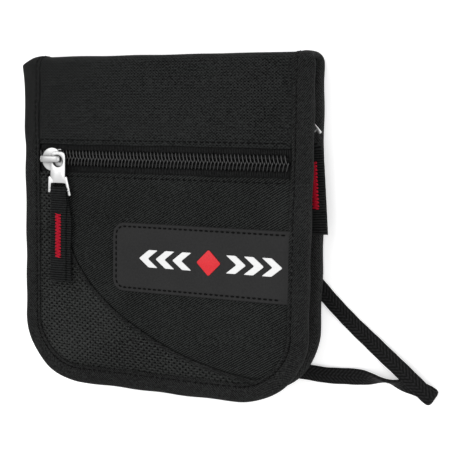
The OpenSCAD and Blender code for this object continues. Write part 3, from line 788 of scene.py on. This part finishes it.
# mesh insert: rows of small square holes
top, uvs = [], []
PX, PV = 1.45, 1.25
vrows = np.r_[[BOTF - 0.02, BOTF, BOTF - 0.08], np.linspace(BOTF - 0.25, BOTF - 1.2, 6), np.arange(BOTF - 1.6, -149.0, -0.42)]
drow = np.r_[0.7, 0.45, 0.25, 0.12, 0.06, 0.03, np.zeros(len(vrows) - 6)]
tc = np.linspace(0, 1, 230)
for v, dr in zip(vrows, drow):
    xr = min(float(seam_x(v)), float(half_width(v + HH, 2.6)))
    xl = -float(half_width(v + HH, 2.6))
    xr = max(xr, xl + 0.4)
    x = xl + (xr - xl) * tc
    va = np.full_like(x, v)
    ds = np.abs(np.hypot(x - CX, va - CV) - seam_r(x, va))
    crease = -0.3 * np.exp(-((ds - 2.3) / 0.35) ** 2) + 0.28 * np.exp(-((ds - 1.1) / 0.7) ** 2) - 0.8 * np.exp(-(ds / 0.4) ** 2)
    tilt = va + 0.035 * x
    hole = -0.12 * smooth(0.2, 0.8, np.sin(math.pi * x / PX) * np.sin(math.pi * tilt / PV)) * smooth(2.4, 3.2, ds)
    w = 6.78 + pocket(x, va) * 0.8 + near_edge(-va, -BOTF, 1) * 0.6 + crease + hole - dr
    top.append(on_flap(x, va, w))
    uvs.append(np.stack([x, va], 1))
top, uvs = np.array(top), np.array(uvs)
Geo().slab(top, top - NF * 0.7, uvs).make("mesh_insert_cloth", M_MESH, "flap", ["mesh_insert"], "mesh_fabric")

# rolled edge along the seam
a0 = np.linspace(-171.5, -85, 170)
rr = np.interp(a0, SEAM[:, 0], SEAM[:, 1]) + 0.75
a0 = np.radians(a0)
px, pv = CX + rr * np.cos(a0), CV + rr * np.sin(a0)
keep = (pv < BOTF - 0.8) & (px > -63.0) & (np.abs(px) < half_width(pv + HH, 9.5))
px, pv = px[keep], pv[keep]
c3 = on_flap(px, pv, 6.78 + pocket(px, pv) * 0.9 + 0.05)
g = Geo()
d3 = unit(np.gradient(c3, axis=0))
s3 = unit(np.cross(d3, np.broadcast_to(NF, d3.shape)))
aa = np.linspace(0, 2 * math.pi, 10, endpoint=False)
sl = np.r_[0, np.cumsum(np.linalg.norm(np.diff(c3, axis=0), axis=1))]
fat = (1 + 0.05 * np.sin(sl / 1.4))[:, None, None]
g.loft(c3[:, None] + fat * (0.85 * np.cos(aa)[None, :, None] * s3[:, None] + 0.38 * np.sin(aa)[None, :, None] * NF),
       np.stack(np.broadcast_arrays(0.85 * aa[None], sl[:, None]), -1))
g.make("seam_roll", M_BIND, "flap", ["insert_piping"], "binding_tape")


def stitch_line(g, x0, x1, v, sgn, h, pitch=2.8):
    """A row of stitches along x on the flap's front, 1.6 mm from the folded edge at v."""
    x = np.arange(x0, x1, pitch)
    va = np.full_like(x, v + 2.0 * sgn)
    w = h + pocket(x, va) - 0.12
    p = on_flap(x, va, w)
    g.stitch(p, np.tile([1, 0, 0], (len(x), 1)), np.tile(NF, (len(x), 1)), 1.9, 0.34, 0.05)


g = Geo()
stitch_line(g, -62.4, 63, TOPF, 1, 6.86)
stitch_line(g, -62.4, 63, BOTF, -1, 6.84)
g.make("flap_zip_stitches", M_THREAD, "flap", slot="outer_fabric")

# back of the flap
vrows = np.arange(-3.0, -152.3, -1.0)
top, uvs = [], []
tc = np.linspace(-1, 1, 150)
for v in vrows:
    hwid = float(half_width(max(v + HH, -HH + 2.6), 2.5))
    x = tc * hwid
    va = np.full_like(x, v)
    e = np.minimum(half_width(va + HH, 12.0) - np.abs(x), va + 2 * HH - 12.0)
    pan = smooth(-0.3, 2.2, e) * smooth(-57.5, -60.5, va)
    w = 2.25 - 2.15 * pan + 0.1 * (rumple(x, va, 11, 30) + 1) * pan * 0.5 + 0.05 * rumple(x, va, 12, 14)
    top.append(on_flap(x, va, w))
    uvs.append(np.stack([x, va], 1))
top, uvs = np.array(top), np.array(uvs)
Geo().slab(top, top + NF * 0.5, uvs).make("flap_back_cloth", M_LINING, "flap", ["flap_backing"], "lining_fabric")


# ------------------------------------------------------------------ zips
PITCH = 1.8


def zipper(prefix, m, body, tape_w, up_node, low_node, coil_nodes):
    for s, node, word in ((1, up_node, "upper"), (-1, low_node, "lower")):
        q = np.r_[np.linspace(0.45, 5.5, 14), np.linspace(5.8, tape_w, 5)]
        x = np.linspace(-63.6, 63.6, 320)
        g = Geo()
        X, Q = np.meshgrid(x, q, indexing="ij")
        lim = np.where(Q > 6, 60.0 / 63.6, 1.0)
        top = np.stack([X * lim, s * Q, -0.03 + 0.035 * np.sin(2 * math.pi * X / 0.8) * (Q > 3.7)], -1)
        bot = top.copy()
        bot[..., 2] = -0.5
        g.slab(tf(m, top), tf(m, bot), np.stack([Q * s, X], -1))
        g.make(f"{prefix}_tape_{word}", M_TAPE, body, [node], "zip_tape")
    for s, word, node in ((1, "upper", coil_nodes[0]), (-1, "lower", coil_nodes[1])):
        g = Geo()
        pts = cr([(-.24, 2.95, .05), (-.27, 3.5, .4), (-.13, 3.45, 1.05), (.12, 2.7, 1.5), (.4, 1.6, 1.7), (.66, .7, 1.84), (.8, .05, 1.68), (.82, -.38, 1.1), (.8, -.3, .55), (.72, .2, .3)], 2)
        rad = 0.36 + 0.06 * smooth(0.9, 0.1, pts[:, 1]) * smooth(0.6, 1.2, pts[:, 2])
        off = 0.0 if s > 0 else PITCH / 2
        for k in range(70):
            x0 = -62.9 + PITCH * k + off
            if x0 > 62.2:
                continue
            p = pts * [1, s, 1] + [x0, 0, 0]
            g.tube(tf(m, p), rad, 8, up=m[:3, 2])
        g.make(f"{prefix}_teeth_{word}", M_COIL, body, [node], "zip_coil")
        # core cord inside the teeth and one row of sewing thread over them
        g = Geo()
        xs = np.arange(-63, 63.2, 1.1)
        for yy, zz, rr in ((2.35, 0.75, 0.55),):
            g.tube(tf(m, np.stack([xs, np.full_like(xs, s * yy), np.full_like(xs, zz)], 1)), rr, 8, up=m[:3, 2])
        g.make(f"{prefix}_core_{word}", M_TAPE, body, slot="zip_tape")
        g = Geo()
        for yy, zz in ((1.95, 1.95),):
            xk = np.arange(-62.2 + off, 62.4, PITCH)
            z = np.full_like(xk, zz)
            g.stitch(tf(m, np.stack([xk + (0.3 if yy > 2.5 else 0.75), np.full_like(xk, s * yy), z], 1)), np.tile(m[:3, :3] @ np.array([1, -0.25 * s, 0]), (len(xk), 1)),
                     np.tile(m[:3, 2], (len(xk), 1)), 1.15, 0.12, 0.1)
        g.make(f"{prefix}_sewing_{word}", M_THREAD2, body, slot="zip_tape")


zipper("front_zip", FRONT_ZIP, "flap", 12, "front_zip_tape_upper", "front_zip_tape_lower", ["front_zip_coil_upper", "front_zip_coil_lower"])
zipper("inner_zip", INNER_ZIP, "rear_body", 8, "inner_zip_tape_upper", "inner_zip_tape_lower", ["inner_zip_coil_upper", "inner_zip_coil_lower"])


def circle(cx, cy, r, a0, a1, n):
    a = np.radians(np.linspace(a0, a1, n))
    return np.stack([cx + r * np.cos(a), cy + r * np.sin(a)], 1)


def slider(prefix, m, body):
    g = Geo()
    low = -0.75 if prefix == "front" else 0.0
    top_out = np.concatenate([circle(-1.1, 0, 5.5, 52, 308, 40), [[2.6, -3.75]], circle(4.0, -3.0, .75, 270, 360, 6), circle(4.0, 3.0, .75, 0, 90, 6), [[2.6, 3.75]]])
    g.plate(top_out + [0, low], 2.5, 3.35, 0.34, m, dome=0.35)
    g.plate(top_out * 0.97, -1.55, -0.8, 0.3, m)
    for s in (-1, 1):
        fl_ = np.array([[-0.5, s * 3.62], [3.6, s * 3.62], [3.6, s * 4.05], [-0.5, s * 4.05]])
        g.plate(fl_, 1.0, 2.6, 0.1, m)
    g.plate(np.array([[-5.9, -.35], [-2.6, -.2], [-2.6, .2], [-5.9, .35]]), -1.1, 2.8, 0.1, m)
    g.make(f"{prefix}_slider_body", M_NICKEL, body, [f"{prefix}_slider"], "nickel", smooth_angle=50)
    g = Geo()
    path = cr([(-6.3, 0, 2.9), (-6.35, 0, 3.9), (-5.9, 0, 4.8), (-4.6, 0, 5.5), (-2.0, 0, 5.75), (1.4, 0, 5.7), (3.0, 0, 5.45), (3.85, 0, 4.85), (3.85, 0, 4.1), (3.5, 0, 3.3)], 5)
    n = len(path)
    t = np.linspace(0, 1, n)
    width = np.interp(t, [0, .12, .3, .7, .85, .93, 1], [1.35, 1.5, 1.55, 1.5, 1.1, .8, .7])
    high = np.interp(t, [0, .12, .3, .7, .85, 1], [.6, .6, .62, .6, .62, .7])
    d = unit(np.gradient(path, axis=0))
    u = np.cross(np.broadcast_to((0.0, 1.0, 0.0), d.shape), d) * -1
    aa = np.linspace(0, 2 * math.pi, 18, endpoint=False)
    ca, sa = np.sign(np.cos(aa)) * np.abs(np.cos(aa)) ** .8, np.sign(np.sin(aa)) * np.abs(np.sin(aa)) ** .8
    rings = path[:, None] + (width[:, None] * ca)[..., None] * np.array([0, 1, 0]) + (high[:, None] * sa)[..., None] * u[:, None]
    g.loft(tf(m, rings + [0, low * 0.8, 0]))
    g.make(f"{prefix}_crown", M_CROWN_SHADED, body, [f"{prefix}_slider_crown"], "nickel", smooth_angle=60)


def puller(name, m, body, node):
    """Die cast puller: eye with a round hole, plate, two prongs and the bar between them."""
    g = Geo()
    z0, z1 = 3.72, 4.62
    # plate with the hole: strips between the hole and the outline
    n = 64
    a = np.radians(np.linspace(-90, 270, n, endpoint=False))
    hole = np.stack([2.7 * np.cos(a), 2.7 * np.sin(a) - 1.0], 1)
    outer = []
    for q in a:
        c, s = math.cos(q), math.sin(q)
        if s >= 0:
            k = 4 * (abs(c) ** 5 + abs(s / 1.04) ** 5) ** -0.2
            outer.append([k * c, k * s - 0.8])
        else:
            k = min(4 / max(abs(c), 1e-6), 10.6 / abs(s))
            outer.append([k * c, k * s - 0.8])
    outer = np.array(outer)
    prof = [(0.0, z0 + .22), (0.07, z0 + .07), (.22, z0), (.78, z0), (.93, z0 + .07), (1, z0 + .22), (1, z1 - .22), (.93, z1 - .07), (.78, z1), (.22, z1), (.07, z1 - .07), (0, z1 - .22)]
    w = np.linalg.norm(outer - hole, axis=1)
    rings = []
    for i in range(n):
        d = unit(outer[i] - hole[i])
        ring = []
        for t, z in prof:
            k = t * w[i] if 0 < t < 1 and False else (min(.32, .3 * w[i]) * (t / .22) if t <= .22 else (w[i] - min(.32, .3 * w[i]) * ((1 - t) / .22) if t >= .78 else t * w[i]))
            ring.append([*(hole[i] + d * k), z])
        rings.append(ring)
    g.loft(tf(m, np.array(rings)), closed=True)
    for s in (-1, 1):
        e = 17.6 if s > 0 else 16.3
        pr = np.array([[2.6, -9.9], [3.8, -8.4], [4.7, -8.0], [5.15, -8.5], [6.25, -e + .4], [6.0, -e], [5.2, -e], [4.85, -e + .4], [4.05, -11.6], [2.6, -11.35]]) * [s, 1]
        g.plate(pr, z0 - .02, z1 + .02, 0.24, m)
    bar = np.stack([np.linspace(-5.5, 5.5, 12), np.full(12, -15.2), np.full(12, 4.15)], 1)
    g.tube(tf(m, bar), 0.62, 12, up=m[:3, 2])
    if body == "front_pull":
        g.v = [q + FLAP[:3, :3] @ np.array([-0.9, -0.6, 0]) * smooth(-15.2, -9, (q - m[:3, 3]) @ m[:3, 1])[:, None] for q in g.v]
    g.make(name, M_NICKEL, body, [node], "nickel", smooth_angle=45)


def webbing(name, m, body, nodes, tack_node, folded=True):
    """Ribbed webbing folded round the bar, two layers, with a red zigzag through both."""
    L, W = 43.0, 8.4 if folded else 8.9
    g = Geo()
    y0, zc = -15.2, 4.15
    # centreline of the strap in the y-z plane: back layer up, round the bar, front layer down
    loop = [(y0 - L, 3.3), (y0 - L * .7, 3.22), (y0 - L * .4, 3.22), (y0 - 9, 3.25), (y0 - 4, 3.2), (y0 - 1.2, 3.0), (y0 + .6, 3.15), (y0 + 1.22, 4.1), (y0 + .5, 5.15), (y0 - 1.2, 5.2),
            (y0 - 4, 4.75), (y0 - 9, 4.2), (y0 - L * .4, 4.14), (y0 - L * .7, 4.14), (y0 - L + .3, 4.1)]
    if not folded:
        loop = [(a, b - 0.2) if a < y0 - 6 else (a, 4.15 + (b - 4.15) * 1.15) for a, b in loop]
    c, s = resample(np.c_[cr(loop, 10), np.zeros((len(loop) - 1) * 10 + 1)], 0.22, 2)
    c = c[:, :2]
    t = unit(np.gradient(c, axis=0))
    nn = np.stack([-t[:, 1], t[:, 0]], 1)
    xs = np.array([-1, -.985, -.93, -.7, -.35, 0, .35, .7, .93, .985, 1])
    thick_ = np.array([.12, .3, .4, .43, .43, .43, .43, .43, .4, .3, .12])
    rib = 0.09 * np.sin(2 * math.pi * s / 1.1)
    front = smooth(-2, 2, np.arange(len(c)) - len(c) * .5)
    rings = []
    for i in range(len(c)):
        if folded:
            out = smooth(y0 - 3, y0 - 16, c[i, 0])
            half_w, dx = W / 2 * (1 + .012 * math.sin(s[i] / .9)), (1.6 + .3 * math.sin(c[i, 0] / 5.5)) * (1 - front[i]) * out - .8 * front[i] * out
        else:
            k = smooth(y0 - 3.2, y0 - 6.4, c[i, 0])
            half_w, dx = 1.9 + (W / 2 - 1.9) * float(k), -2.2 * (1 - float(k))
        ring = []
        for sgn in (1, -1):
            order = range(len(xs)) if sgn > 0 else range(len(xs) - 1, -1, -1)
            for j in order:
                h = sgn * (thick_[j] + rib[i] * (abs(xs[j]) < .95))
                ring.append([xs[j] * half_w + dx, c[i, 0] + nn[i, 0] * h, c[i, 1] + nn[i, 1] * h])
        rings.append(ring)
    rings = np.array(rings)
    if not folded:
        # the loop turns with the bar, the tail hangs straight
        a = math.radians(35 - LEAN)
        near = smooth(y0 - 6.5, y0 - 2.5, rings[..., 1])
        x, y = rings[..., 0] + 2.2, rings[..., 1] - y0
        th = a * near
        rings[..., 0] = x * np.cos(th) - y * np.sin(th) - 2.2
        rings[..., 1] = x * np.sin(th) + y * np.cos(th) + y0
    uv = np.stack([rings[..., 0], np.broadcast_to(s[:, None], rings.shape[:2])], -1)
    g.loft(tf(m, rings), uv)
    g.make(name, M_WEB, body, nodes, "webbing")
    # red zigzag
    g = Geo()
    dz = 0.0 if folded else -0.2
    ys = np.arange(y0 - 11, y0 - 31.8, -0.78)
    r = np.random.RandomState(4)
    zig = []
    for i, y in enumerate(ys):
        sd = 1 if i % 2 else -1
        zig.append([sd * (1.42 + .14 * r.rand()) - (.55 if folded else 0), y + .1 * (r.rand() - .5), 4.66 + dz])
        nxt = ys[min(i + 1, len(ys) - 1)]
        zig.append([0.1 * (r.rand() - .5) - (.55 if folded else 0), (y + nxt) / 2, 4.9 + dz])
    g.tube(tf(m, cr(zig, 4)), 0.22, 7, up=m[:3, 2])
    zig2 = [[-q[0] * .9 - (1.05 if folded else 0), q[1] - .32, q[2] + (.05 if abs(q[0]) < .5 else 0)] for q in zig]
    g.tube(tf(m, cr(zig2, 4)), 0.2, 7, up=m[:3, 2])
    g.make(name + "_red_tack", M_RED, body, [tack_node], "red_thread")


slider("front", FRONT_SLIDER, "front_slider")
slider("inner", INNER_SLIDER, "inner_slider")
puller("front_puller_cast", FRONT_PULL, "front_pull", "front_puller")
puller("inner_puller_cast", INNER_PULL, "inner_pull", "inner_puller")
webbing("front_pull_strap", FRONT_PULL, "front_webbing", ["front_pull_webbing"], "front_pull_bartack")
webbing("inner_pull_strap", INNER_WEB, "inner_webbing", ["inner_pull_webbing"], "inner_pull_bartack", folded=False)

# ------------------------------------------------------------------ badge
BX0, BX1, BV0, BV1 = -22.9, 68.0, -108.6, -76.6
bx = np.r_[np.linspace(BX0, BX0 + 6.5, 26), np.linspace(BX0 + 6.9, BX1, 150)]
bv = np.r_[np.linspace(BV0, BV0 + 6.5, 26), np.linspace(BV0 + 6.9, BV1 - 6.9, 30), np.linspace(BV1 - 6.5, BV1, 26)]
X, V = np.meshgrid(bx, bv, indexing="ij")
# squeeze the square grid's left corners onto the rounded outline
RC = 6.0
cx_, cy0, cy1 = BX0 + RC, BV0 + RC, BV1 - RC


def round_corner(X, V):
    for cy, sg in ((cy0, -1), (cy1, 1)):
        a, b = (X - cx_) / -RC, (V - cy) * sg / RC
        inside = (a > 0) & (b > 0)
        mx = np.maximum(a, b)
        ln = np.hypot(a, b)
        k = np.where(inside, mx / np.maximum(ln, 1e-9), 1)
        X, V = np.where(inside, cx_ - a * k * RC, X), np.where(inside, cy + sg * b * k * RC, V)
    return X, V


X, V = round_corner(X, V)
ex = np.minimum(X - BX0, np.minimum(V - BV0, BV1 - V))
for cy, sg in ((cy0, -1), (cy1, 1)):
    corner = (X < cx_) & ((V - cy) * sg > 0)
    ex = np.where(corner, RC - np.hypot(X - cx_, V - cy), ex)
ex = np.clip(ex, 0, None)
seat = 6.86 + pocket(X, V) * 0.6
under = smooth(61.0, 65.5, X)
top_w = seat + 0.25 + 1.02 * np.sqrt(np.clip(1 - (1 - np.clip(ex / 0.8, 0, 1)) ** 2, 0, 1)) - 0.42 * np.exp(-((ex - 1.9) / 0.46) ** 2) - 0.10 * smooth(2.1, 2.9, ex)
top_w = top_w * (1 - under) + under * 6.9
top = on_flap(X, V, top_w)
bot = on_flap(X, V, seat * 0 + 6.45)
Geo().slab(top, bot, np.stack([X, V], -1)).make("badge_plate", M_BADGE, "flap", ["badge"], "badge_rubber")
# stitches in the groove
path = [(x, BV1 - 1.9) for x in np.arange(62.5, cx_, -0.5)]
path += [tuple(q) for q in circle(cx_, cy1, RC - 1.9, 90, 180, 14)]
path += [(BX0 + 1.9, v) for v in np.arange(cy1 - .5, cy0, -0.5)]
path += [tuple(q) for q in circle(cx_, cy0, RC - 1.9, 180, 270, 14)]
path += [(x, BV0 + 1.9) for x in np.arange(cx_ + .5, 62.5, 0.5)]
pp, ss = resample(np.array(path), 0.2, 2)
idx = np.searchsorted(ss, np.arange(1.0, ss[-1] - 1, 2.6))
w = 6.86 + 0.6 * pocket(pp[idx, 0], pp[idx, 1]) + 1.0
p3 = on_flap(pp[idx, 0], pp[idx, 1], w)
t3 = on_flap(pp[np.minimum(idx + 2, len(pp) - 1), 0], pp[np.minimum(idx + 2, len(pp) - 1), 1], w) - p3
Geo().stitch(p3, t3, np.tile(NF, (len(idx), 1)), 1.85, 0.36, 0.04).make("badge_stitches", M_THREAD, "flap", slot="badge_rubber")
BM = (BV0 + BV1) / 2
g = Geo()


def chevron(x0, s):
    return np.array([[0, -4], [4.5 * s, -4], [9.5 * s, 0], [4.5 * s, 4], [0, 4], [5 * s, 0]]) + [x0, BM]


def ridged(g, o, w0, w1):
    """A raised moulding on the badge: its edge is rounded and it stands flat from w0 to w1 in the flap's frame."""
    o = np.asarray(o, float)
    fine = []
    for a, b in zip(o, np.roll(o, -1, 0)):
        n = max(2, int(np.linalg.norm(b - a) / 0.8))
        for k in range(n):
            fine.append(a + (b - a) * (0.06 + 0.88 * k / (n - 1)))
    g.plate(np.array(fine), w0, w1, 0.12, FLAP)


for i in range(3):
    ridged(g, chevron(18 - 8.5 * i, -1), 7.9, 8.6)
    ridged(g, chevron(35 + 8.5 * i, 1), 7.9, 8.6)
g.make("badge_chevron_marks", M_WHITE, "flap", ["badge_chevrons"], "badge_white", smooth_angle=60)
g = Geo()
ridged(g, np.array([[0, -5.94], [5.94, 0], [0, 5.94], [-5.94, 0]]) + [26.5, BM], 7.9, 8.62)
g.make("badge_diamond_mark", M_REDPVC, "flap", ["badge_diamond"], "badge_red", smooth_angle=60)

# ------------------------------------------------------------------ rear body
vr = np.arange(75.5, -75.3, -1.0)
tc = np.linspace(-1, 1, 150)


def flat_sheet(name, z, t, material, node, slot, seed, top_y=75.5, amp=0.08):
    top, uvs = [], []
    for y in np.r_[np.arange(top_y, -75.3, -1.0)]:
        x = tc * float(half_width(max(y, -HH + 2.6), 2.5))
        ya = np.full_like(x, y)
        top.append(np.stack([x, ya, z + amp * rumple(x, ya, seed, 34)], 1))
        uvs.append(np.stack([x, ya], 1))
    top = np.array(top)
    Geo().slab(top, top - [0, 0, t], np.array(uvs)).make(name, material, "rear_body", [node], slot)


flat_sheet("back_cloth", 2.85, 0.5, M_BACK, "back_panel", "outer_fabric", 21, 72.5)
flat_sheet("rear_lining_cloth", 3.25, 0.25, M_LINING, "rear_lining", "lining_fabric", 22, 75.3, 0.05)

# rear pocket front below the inner zip
LIP = IZ - 5.8
top, uvs = [], []
rows = [(LIP + .02, .7), (LIP, .45), (LIP - .08, .25), (LIP - .25, .12), (LIP - .5, .05), (LIP - .9, 0)] + [(y, 0) for y in np.arange(LIP - 1.5, -75.2, -0.9)]
for y, dr in rows:
    x = tc * float(half_width(max(y, -HH + 2.6), 2.5))
    ya = np.full_like(x, y)
    e = np.minimum(half_width(ya, 12.0) - np.abs(x), ya + HH - 12.0)
    up1 = smooth(-1.2, 2.0, e)
    up2 = smooth(-0.2, 3.0, e) * smooth(37.5, 33.5, ya)
    z = 4.75 + 1.35 * up1 + 1.75 * up2 + 0.12 * rumple(x, ya, 31, 30) * up2 - 0.18 * np.exp(-((LIP - ya - 1.6) / .45) ** 2) - dr
    top.append(np.stack([x, ya + 0.1 * np.sin(x / 6.0) * smooth(LIP - 3, LIP, y), z], 1))
    uvs.append(np.stack([x, ya], 1))
top = np.array(top)
Geo().slab(top, top - [0, 0, .5], np.array(uvs)).make("rear_lower_cloth", M_TWILL, "rear_body", ["rear_lower_panel"], "outer_fabric")
# strip above the inner zip
UP = IZ + 5.8
top, uvs = [], []
rows = [(UP - .02, .7), (UP, .45), (UP + .08, .25), (UP + .25, .12), (UP + .5, .05), (UP + .9, 0)] + [(y, 0) for y in np.arange(UP + 1.5, 75.0, 0.8)]
for y, dr in rows:
    x = tc * 70.4
    ya = np.full_like(x, y)
    e = 61.0 - np.abs(x)
    z = 4.75 + 1.35 * smooth(-1.2, 2.0, e) * smooth(72.5, 68.5, ya) + 0.06 * rumple(x, ya, 33, 25) - 0.18 * np.exp(-((ya - UP - 1.6) / .45) ** 2) - dr
    top.append(np.stack([x, ya, z], 1))
    uvs.append(np.stack([x, ya], 1))
top = np.array(top)
Geo().slab(top, top - [0, 0, .5], np.array(uvs)).make("rear_upper_cloth", M_UPPER, "rear_body", ["rear_upper_panel"], "outer_fabric")
g = Geo()
x = np.arange(-60, 60.5, 2.8)
for y in (LIP - 1.6, UP + 1.6):
    g.stitch(np.stack([x, np.full_like(x, y), np.full_like(x, 5.98)], 1), np.tile([1, 0, 0], (len(x), 1)), np.tile([0, 0, 1], (len(x), 1)), 1.9, 0.2, 0.1)
g.make("inner_zip_stitches", M_THREAD, "rear_body", slot="outer_fabric")


# ------------------------------------------------------------------ closure patches and cord tabs
def patch(name, m, material, body, node, z0, z1, face):
    g = Geo()
    o = []
    for cx, cy, a in ((12.5, 6.5, 0), (-12.5, 6.5, 90), (-12.5, -6.5, 180), (12.5, -6.5, 270)):
        o += [tuple(q) for q in circle(cx, cy, 1.5, a, a + 90, 6)]
    lo, hi = (z0, z1) if face > 0 else (z1, z0)
    xs, ys = np.linspace(-14, 14, 96), np.linspace(-8, 8, 56)
    X, Y = np.meshgrid(xs, ys, indexing="ij")
    e = np.minimum(14 - np.abs(X), 8 - np.abs(Y))
    r = np.random.RandomState(7)
    nz = r.rand(*X.shape)
    top = face * (abs(z1 - z0)) * smooth(-.2, .6, e) * (0.8 + 0.2 * nz * (e > 1.2))
    Z = z0 + top
    Z = Z - face * 0.18 * np.exp(-((e - 1.4) / .35) ** 2)
    P0, P1 = tf(m, np.stack([X, Y, Z], -1)), tf(m, np.stack([X, Y, np.full_like(Z, z0)], -1))
    g.slab(P0, P1, np.stack([X, Y], -1))
    g.make(name, material, body, [node], "hook_loop")
    g = Geo()
    q, s = resample(np.array([(-12.6, -6.6), (12.6, -6.6), (12.6, 6.6), (-12.6, 6.6), (-12.6, -6.6)]), .2, 2)
    idx = np.searchsorted(s, np.arange(1.2, s[-1] - 1, 2.5))
    nn = np.tile(m[:3, 2] * face, (len(idx), 1))
    p = tf(m, np.c_[q[idx], np.full(len(idx), z0 + face * .72 * abs(z1 - z0))])
    t = tf(m, np.c_[q[np.minimum(idx + 1, len(q) - 1)], np.full(len(idx), z0 + face * .72 * abs(z1 - z0))]) - p
    g.stitch(p, t, nn, 1.7, .2, .1)
    g.make(name + "_stitches", M_THREAD, body, slot="hook_loop")


patch("loop_patch_pile", shift(0, -44, 0), M_LOOP, "rear_body", "loop_patch", 7.9, 8.95, 1)
patch("hook_patch_nylon", FLAP @ shift(0, -122, 0), M_HOOK, "flap", "hook_patch", 0.15, -0.85, -1)

for nm, x0, node in (("cord_tab_left_web", -57.8, "cord_tab_left"), ("cord_tab_right_web", 57.8, "cord_tab_right")):
    ys = np.arange(58.6, 74.6, 0.22)
    xs = np.linspace(-6, 6, 25)
    X, Y = np.meshgrid(xs, ys, indexing="ij")
    rib = 0.07 * np.sin(2 * math.pi * Y / 1.1)
    puff = 0.35 * smooth(66, 60, Y)
    lowz = 1.05 - puff * 1.2 - 0.12 * np.exp(-((np.abs(X) - 4.9) / .4) ** 2) * 0 - rib
    lowz = lowz + 0.5 * smooth(-5.2, -6, X) + 0.5 * smooth(5.2, 6, X)
    top = np.stack([X + x0, Y, np.full_like(X, 2.28)], -1)
    bot = np.stack([X + x0, Y, np.maximum(lowz, .15)], -1)
    Geo().slab(top, bot, np.stack([X, Y], -1)).make(nm, M_WEB, "rear_body", [node], "webbing")
    g = Geo()
    for pts in (((-4.6, 67.2), (4.6, 67.2), (4.6, 73.6), (-4.6, 73.6), (-4.6, 67.2)), ((-4.4, 67.4), (4.4, 73.4)), ((4.4, 67.4), (-4.4, 73.4))):
        q, s = resample(np.array(pts, float), .1, 2)
        idx = np.searchsorted(s, np.arange(.8, s[-1] - .5, 1.9))
        p = np.c_[q[idx, 0] + x0, q[idx, 1], np.full(len(idx), .97)]
        t = np.c_[q[np.minimum(idx + 1, len(q) - 1)] - q[idx], np.zeros(len(idx))]
        g.stitch(p, t, np.tile([0, 0, -1.0], (len(idx), 1)), 1.4, .18, .08)
    g.make(nm + "_stitches", M_THREAD2, "rear_body", slot="webbing")

# ------------------------------------------------------------------ floor and light
fm = NT("studio_floor")
n = fm.noise(3, 2)
fm.finish(fm.ramp(n, [(0.0, (0.90, 0.90, 0.90)), (1.0, (0.93, 0.93, 0.93))]), fm.span(n, 0.85, 0.95), None, spec=0.1)
fm.b.inputs["Emission Color"].default_value = (1, 1, 1, 1)
fm.b.inputs["Emission Strength"].default_value = 0.32
me = bpy.data.meshes.new("floor")
me.from_pydata([(-8, -8, 0), (8, -8, 0), (8, 8, 0), (-8, 8, 0)], [], [(0, 1, 2, 3)])
me.materials.append(fm.m)
floor = bpy.data.objects.new("floor", me)
bpy.context.collection.objects.link(floor)

world = bpy.data.worlds.new("world")
world.use_nodes = True
# a soft box overhead: bright above, dimmer towards the horizon
wt = world.node_tree
co = wt.nodes.new("ShaderNodeTexCoord")
sp = wt.nodes.new("ShaderNodeSeparateXYZ")
rp = wt.nodes.new("ShaderNodeValToRGB")
wt.links.new(co.outputs["Generated"], sp.inputs[0])
wt.links.new(sp.outputs[2], rp.inputs[0])
rp.color_ramp.elements[0].position, rp.color_ramp.elements[0].color = 0.0, (0.5, 0.5, 0.5, 1)
rp.color_ramp.elements[1].position, rp.color_ramp.elements[1].color = 0.85, (1, 1, 1, 1)
wt.links.new(rp.outputs[0], wt.nodes["Background"].inputs[0])
wt.nodes["Background"].inputs[1].default_value = 1.08
bpy.context.scene.world = world


def area(name, where, look, size, power):
    d = bpy.data.lights.new(name, "AREA")
    d.shape, d.size, d.energy = "SQUARE", size, power
    o = bpy.data.objects.new(name, d)
    o.location = where
    o.rotation_euler = (Vector(look) - Vector(where)).to_track_quat("-Z", "Y").to_euler()
    bpy.context.collection.objects.link(o)


area("key", (-0.45, 0.6, 1.1), (0, 0, 0), 1.1, 5.0)
area("fill", (0.9, 0.1, 0.8), (0, 0, 0), 0.9, 3.0)
vs = bpy.context.scene.view_settings
vs.view_transform, vs.look, vs.exposure, vs.gamma = "Standard", "None", 0.0, 1.0
